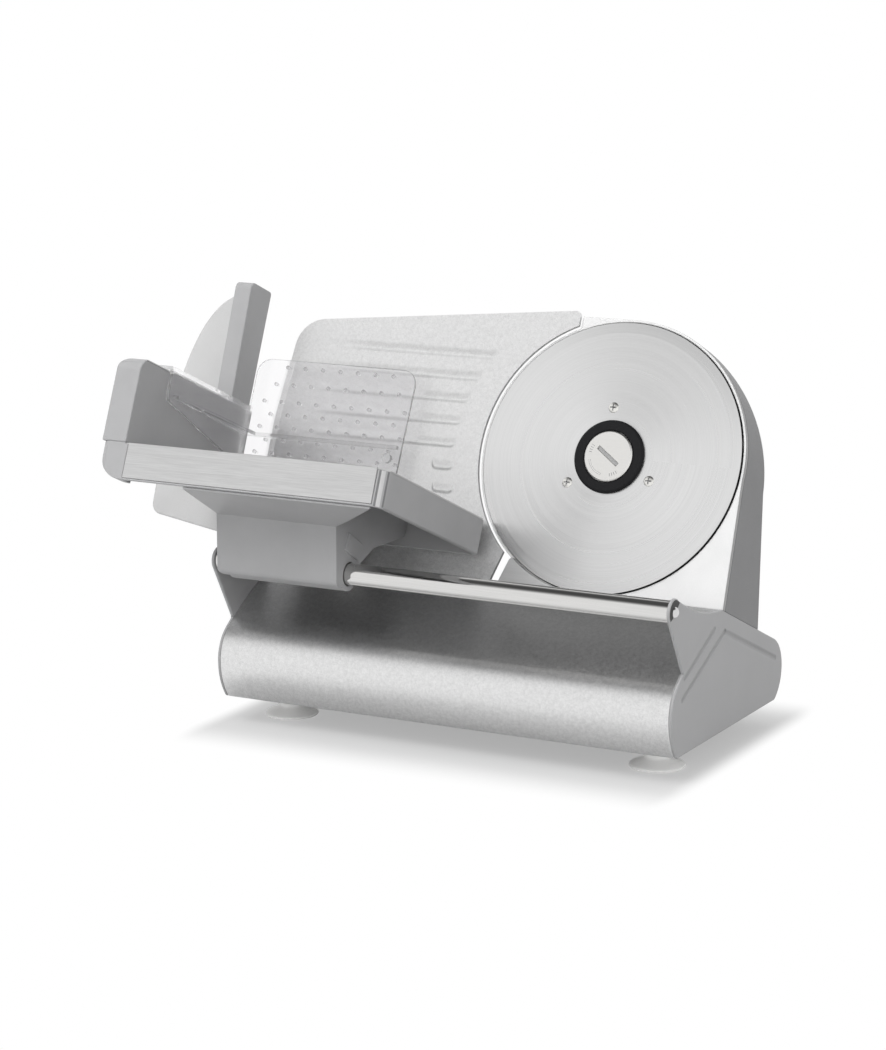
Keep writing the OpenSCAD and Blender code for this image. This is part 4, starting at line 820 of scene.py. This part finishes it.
def turn_blade(steps=180):
    """The blade turned from the CAD blade's section, with u round it and v outwards for its rings."""
    points = islands("blade", BLADE)[0]
    back, front = span(points, 2)
    bore, edge = span([(p.xy.length,) for p in points], 0)
    at_edge = [p.z for p in points if p.xy.length > edge - 0.05 * MM]
    bevel = max(p.xy.length for p in points if p.z > front - 0.01 * MM)
    section = [(bore, back), (edge - MM, back), (edge, min(at_edge)), (edge, max(at_edge)), (bevel, front)]
    section += [(bevel + (bore - bevel) * i / 6, front) for i in range(1, 7)]
    shape = bmesh.new()
    uv = shape.loops.layers.uv.new("turned")
    rings = [[shape.verts.new((r * math.cos(a), r * math.sin(a), z))
              for a in (2 * math.pi * i / steps for i in range(steps))] for r, z in section]
    for k, (r, z) in enumerate(section):
        ahead = (k + 1) % len(section)
        here, there, far = rings[k], rings[ahead], section[ahead][0]
        for i in range(steps):
            j = (i + 1) % steps
            face = shape.faces.new((here[i], here[j], there[j], there[i]))
            for loop, (u, v) in zip(face.loops, ((i, r), (i + 1, r), (i + 1, far), (i, far))):
                loop[uv].uv = (u / steps, v)
    bmesh.ops.recalc_face_normals(shape, faces=shape.faces)
    shade(shape, 8)
    mesh = mesh_of(shape, "turned_blade")
    soften_bevel(mesh, bevel)
    settle(set_mesh(mesh, BLADE, "blade_steel"), ["blade"])


def soften_bevel(mesh, bevel, share=0.4):
    """Shades the ground bevel flatter than it is, as its fine polish does."""
    normals = [corner.vector.copy() for corner in mesh.corner_normals]
    for face in mesh.polygons:
        if 0 < face.normal.z < 0.9999 and face.center.xy.length > bevel:
            for loop in face.loop_indices:
                normals[loop] = Vector((0, 0, 1)).lerp(normals[loop], share).normalized()
    mesh.normals_split_custom_set(normals)


# Painted highlight and shade down the tray frame's round right corner, each between two angles it faces, in degrees
CORNER_PAINTED_LIGHT = (("silver_paint", 18, 27), ("pale_paint", 36, 54), ("silver_paint", 54, 62))


class SLICER_OT_carriage(bpy.types.Operator):
    """Dress the carriage: tray, column, side wall and hand guard"""
    bl_idname = "slicer.carriage"
    bl_label = "Carriage"

    def execute(self, context):
        rim = skin("tray_rim", "tray_frame", sharp=40)
        for finish, low, high in CORNER_PAINTED_LIGHT:
            darken(rim, finish, FEED, lambda p, n: p.x > 0 and abs(n.y) < 0.2 and (
                low < math.degrees(math.atan2(n.z, n.x)) < high))
        skin("tray_sheet", "tray_plate", edge=0.3 * MM, finish="tray")
        skin("column_skin", "carriage_column", sharp=40)
        skin("wall_skin", "side_wall", sharp=40, edge=0.8 * MM)
        skin("hand_shield", "hand_guard", edge=MM, finish="pale_paint")
        return {"FINISHED"}


# The pusher's plate edges and its lip above this height up the blade show darker; its hook shows clearer past this
# reach over the wall, and on faces above this height
LIP_FOOT = -16 * MM
HOOK_REACH = 25 * MM
HOOK_TOP = 7 * MM


class SLICER_OT_pusher(bpy.types.Operator):
    """Dress the clear food pusher and set its rows of nubs"""
    bl_idname = "slicer.pusher"
    bl_label = "Pusher"

    def execute(self, context):
        plate = skin("pusher_skin", "pusher", edge=0.5 * MM)
        plate.visible_shadow = False
        points = islands("pusher", FEED)[0]
        right, top, back = span(points, 0)[1], span(points, 1)[1], span(points, 2)[0]
        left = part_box("side_wall")[1].x + 8 * MM
        plate_end, lip_start, lip_end, hook_start = (back + depth * MM for depth in (3.2, 6, 8, 10))
        # Painted shade: the plate's edges and its lip get the darker clear finish.
        darken(plate, "clear_edge_shade", FEED, lambda p, n: p.x > left and (
            abs(n.z) < 0.6 and p.z < plate_end or p.y > LIP_FOOT and lip_start < p.z < lip_end))
        darken(plate, "clear_top", FEED, lambda p, n: p.z > hook_start and (
            p.x < left - HOOK_REACH or p.y > HOOK_TOP and abs(n.y) > 0.9))
        s = sizes()
        across = s.nub_pitch * (s.nub_columns - 1)
        up = s.nub_row * (s.nub_rows - 1)
        middle = (right - s.nub_side - across / 2, top - s.nub_top - up / 2, back - s.nub_height / 2 + 0.05 * MM)
        turned = FEED @ Matrix.Translation(middle) @ Matrix.Scale(-1, 4, (0, 0, 1))
        nubs = nub_tree().make("pusher_nubs", turned, Columns=s.nub_columns, Rows=s.nub_rows, Pitch=s.nub_pitch,
                               Row_pitch=s.nub_row, Lower_pitch=s.nub_low_row, Radius=s.nub_radius,
                               Height=s.nub_height, Finish=FINISHES["nub"])
        nubs.data.flip_normals()
        smooth_by_angle(nubs.data, 40)
        settle(nubs, body="pusher")
        return {"FINISHED"}


# The gauge plate's beads: how far they fade in and out, their curled ends' length and height, and their share of the
# CAD ridges' height
BEAD_IN, BEAD_OUT = 60 * MM, 3 * MM
BEAD_CURL, BEAD_HOOK = 6 * MM, 3.2 * MM
BEAD_RISE = 0.9


def bead_gauge(across=16, along=48, crest=5):
    """The gauge plate with its square CAD ridges pressed flat and soft beads, steeper below, in their places."""
    shape = shape_of("gauge_plate", FEED)
    high = max(v.co.z for v in shape.verts)
    tops = [v for v in shape.verts if v.co.z > high - 0.05 * MM]
    ridges = [(span(group, 0), span(group, 1)) for group in connected(tops)]
    for vert in tops:
        vert.co.z = 0
    bmesh.ops.remove_doubles(shape, verts=shape.verts, dist=10 * WELD)
    clear_flats(shape)
    swell = [(1 - math.cos(math.pi * min(j / crest, (across - j) / (across - crest)))) / 2
             for j in range(across + 1)]
    for (x0, x1), (v0, v1) in ridges:
        middle, half = (v0 + v1) / 2, v1 - v0
        short = x1 - x0 < BEAD_IN
        fade = BEAD_OUT if short else BEAD_IN
        rows = []
        for i in range(along + 1):
            x = x0 + (x1 - x0) * (1 - math.cos(math.pi * i / along)) / 2
            rise = min(1, (x - x0) / fade) * min(1, (x1 - x) / BEAD_OUT)
            rise = rise * rise * (3 - 2 * rise) * high * BEAD_RISE
            ends = (x1 - x, x - x0) if short else (x1 - x,)
            line = middle + BEAD_HOOK * sum(max(0, 1 - end / BEAD_CURL) ** 2 for end in ends)
            rows.append([shape.verts.new((x, line + half * (2 * j / across - 1), rise * swell[j] - 0.01 * MM))
                         for j in range(across + 1)])
        for one, two in zip(rows, rows[1:]):
            for j in range(across):
                shape.faces.new((one[j], two[j], two[j + 1], one[j + 1]))
    shade(shape, 40)
    settle(set_mesh(mesh_of(shape, "gauge_sheet"), FEED, "gauge_metal"), ["gauge_plate"])


def set_dial_ticks():
    """Marks on the end face of the thickness knob."""
    back = FEED.to_3x3().to_4x4() @ Matrix.Rotation(math.pi, 4, "X")
    knob = Matrix.Translation(JOINTS["knob_turn"]["pos_m"]) @ back
    points = islands("thickness_knob", knob)[0]
    face = span(points, 2)[1]
    flat = max(p.xy.length for p in points if p.z > face - 0.02 * MM)
    ticks = tick_tree().make("dial_ticks", knob @ Matrix.Translation((0, 0, face - 0.05 * MM)),
                             Count=sizes().tick_count, Radius=flat * 0.82, Length=3 * MM, Width=0.6 * MM,
                             Finish=FINISHES["white_polish"])
    settle(ticks, body="knob")


class SLICER_OT_gauge(bpy.types.Operator):
    """Dress the gauge plate with its ridges, and the thickness knob"""
    bl_idname = "slicer.gauge"
    bl_label = "Gauge"

    def execute(self, context):
        bead_gauge()
        skin("knob_skin", "thickness_knob", edge=0.4 * MM)
        set_dial_ticks()
        skin("bracket_skin", "gauge_bracket", sharp=40)
        return {"FINISHED"}


class SLICER_OT_switch(bpy.types.Operator):
    """Dress the rocker switch and the cord gland on the back"""
    bl_idname = "slicer.switch"
    bl_label = "Switch"

    def execute(self, context):
        skin("switch_case", "switch_body", edge=0.3 * MM)
        skin("rocker_skin", "switch_rocker", edge=0.4 * MM)
        skin("gland_skin", "cord_gland", edge=0.4 * MM)
        return {"FINISHED"}


class SLICER_OT_stage(bpy.types.Operator):
    """Set the floor, studio light and camera"""
    bl_idname = "slicer.stage"
    bl_label = "Stage"

    def execute(self, context):
        make_floor()
        make_world()
        make_lamps()
        make_camera()
        return {"FINISHED"}


class Shades(Wiring):
    """The node tree of the floor or of the world."""

    def seen(self, *kinds):
        """One where any of the named rays looks."""
        rays = self.node("ShaderNodeLightPath")
        total = rays.outputs[kinds[0]]
        for kind in kinds[1:]:
            total = self.math("MAXIMUM", total, rays.outputs[kind])
        return total

    def mix(self, share, first, second):
        return self.node("ShaderNodeMixShader", {0: share, 1: first, 2: second}).outputs[0]


# How white the floor shows right by the base, and how far from it its shadow fades out for the eye and in gloss
FLOOR_LIFT = 0.4
SHADOW_REACH = 0.065
GLOSS_REACH = 0.13
# How much sooner the shadow fades past the base's ends than in front of it
SIDE_FADE = 3.0


def make_floor():
    """A pale floor that keeps the object's soft shadow and turns plain white away from it."""
    bpy.ops.mesh.primitive_circle_add(vertices=96, radius=6, fill_type="NGON", location=(0, 0, -0.2 * MM))
    floor = bpy.context.object
    floor.name = "floor"
    material = bpy.data.materials.new("Pale floor")
    material.use_nodes = True
    s = Shades(material.node_tree)
    low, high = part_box("base_shell")
    middle, half = (low + high) / 2, (high - low) / 2
    where = s.node("ShaderNodeTexCoord").outputs["Object"]
    off = s.vector("SUBTRACT", where, (middle.x, middle.y, 0))
    past = s.vector("SUBTRACT", s.vector("ABSOLUTE", off), (half.x, half.y, 0))
    past = s.vector("MULTIPLY", s.vector("MAXIMUM", past), (SIDE_FADE, 1, 0))
    reach = s.vector("LENGTH", past, output="Value")
    shadow = s.spread(reach, FLOOR_LIFT, 1.0, 0.0, SHADOW_REACH, "SMOOTHSTEP")
    gloss = s.spread(reach, 0.0, 1.0, 0.0, GLOSS_REACH, "SMOOTHSTEP")
    seen = s.math("MULTIPLY", shadow, s.seen("Is Camera Ray", "Is Transmission Ray"))
    share = s.math("MAXIMUM", seen, s.math("MULTIPLY", gloss, s.seen("Is Glossy Ray")))
    matt = s.node("ShaderNodeBsdfDiffuse", {"Color": (0.55, 0.55, 0.55, 1)}).outputs[0]
    glow = s.node("ShaderNodeEmission").outputs[0]
    s.node("ShaderNodeOutputMaterial", {0: s.mix(share, matt, glow)})
    floor.data.materials.append(material)


# Light that the room gives matt surfaces, the tone of the ceiling that gloss sees, and where it starts and is full
AMBIENT = 0.55
CEILING = 0.08
CEILING_EDGE = (0.6, 0.9)


def make_world():
    """Even ambient light; camera and clear plastic see white, gloss a white room with a dark ceiling."""
    world = bpy.data.worlds.new("Studio")
    bpy.context.scene.world = world
    world.use_nodes = True
    s = Shades(world.node_tree)
    ambient = s.node("ShaderNodeBackground", {"Color": (1, 1, 1, 1), "Strength": AMBIENT}).outputs[0]
    white = s.node("ShaderNodeBackground", {"Color": (1, 1, 1, 1)}).outputs[0]
    up = s.node("ShaderNodeSeparateXYZ", {0: s.node("ShaderNodeTexCoord").outputs["Generated"]}).outputs[2]
    tone = s.spread(up, 1.0, CEILING, *CEILING_EDGE, "SMOOTHSTEP")
    grey = s.node("ShaderNodeCombineColor", {0: tone, 1: tone, 2: tone}).outputs[0]
    room = s.node("ShaderNodeBackground", {"Color": grey}).outputs[0]
    gloss = s.mix(s.seen("Is Glossy Ray"), ambient, room)
    s.node("ShaderNodeOutputWorld", {0: s.mix(s.seen("Is Camera Ray", "Is Transmission Ray"), gloss, white)})


# Name, place, width and power of each soft lamp
LAMPS = (
    ("key", (-1.1, -1.7, 2.6), 2.2, 62.0),
    ("fill", (2.3, -1.3, 1.2), 2.0, 17.0),
    ("top", (0.2, 0.5, 2.6), 1.8, 14.0),
    ("front", (-0.5, -2.6, 1.1), 1.2, 7.0),
    ("low", (0.9, -2.4, 0.15), 0.8, 3.0),
)
AIM = Vector((0, 0, 0.16))


def make_lamps():
    """Soft lamps that only the matt surfaces answer to; gloss shows the plain room."""
    for name, place, size, power in LAMPS:
        data = bpy.data.lights.new(name, "AREA")
        data.size = size
        data.energy = power
        lamp = set_object(name, data)
        lamp.location = place
        lamp.rotation_euler = (AIM - Vector(place)).to_track_quat("-Z", "Y").to_euler()
        lamp.visible_glossy = False
        lamp.visible_transmission = False


CAMERA_AT = (1.1685, -2.1631, 0.6759)
CAMERA_TURN = math.radians(27.876)
CAMERA_DIP = math.radians(11.81)
CAMERA_LENS = 107.997


def make_camera():
    """The photo's view."""
    data = bpy.data.cameras.new("camera")
    data.lens = CAMERA_LENS
    data.sensor_width = 36
    data.clip_end = 50
    camera = set_object("camera", data)
    camera.location = CAMERA_AT
    camera.rotation_euler = (math.pi / 2 - CAMERA_DIP, 0, CAMERA_TURN)
    bpy.context.scene.camera = camera
    bpy.context.scene.view_settings.view_transform = "Standard"


class SLICER_PT_panel(bpy.types.Panel):
    """Sidebar panel with the dressing steps' buttons and the slicer's colours and sizes"""
    bl_idname = "SLICER_PT_panel"
    bl_label = "Slicer"
    bl_space_type = "VIEW_3D"
    bl_region_type = "UI"
    bl_category = "Slicer"

    def draw(self, context):
        for step in STEPS:
            self.layout.operator(step.bl_idname)
        for group in (context.scene.slicer_colours, context.scene.slicer_sizes):
            for key in group.__annotations__:
                self.layout.prop(group, key)


STEPS = (SLICER_OT_finishes, SLICER_OT_base, SLICER_OT_drum, SLICER_OT_blade, SLICER_OT_carriage,
         SLICER_OT_pusher, SLICER_OT_gauge, SLICER_OT_switch, SLICER_OT_stage)
CLASSES = (SlicerColours, SlicerSizes, *STEPS, SLICER_PT_panel)


def register():
    for item in CLASSES:
        bpy.utils.register_class(item)
    bpy.types.Scene.slicer_colours = bpy.props.PointerProperty(type=SlicerColours)
    bpy.types.Scene.slicer_sizes = bpy.props.PointerProperty(type=SlicerSizes)


def unregister():
    del bpy.types.Scene.slicer_sizes
    del bpy.types.Scene.slicer_colours
    for item in reversed(CLASSES):
        bpy.utils.unregister_class(item)


def main():
    register()
    for step in STEPS:
        area, name = step.bl_idname.split(".")
        getattr(getattr(bpy.ops, area), name)()


if __name__ == "__main__":
    main()
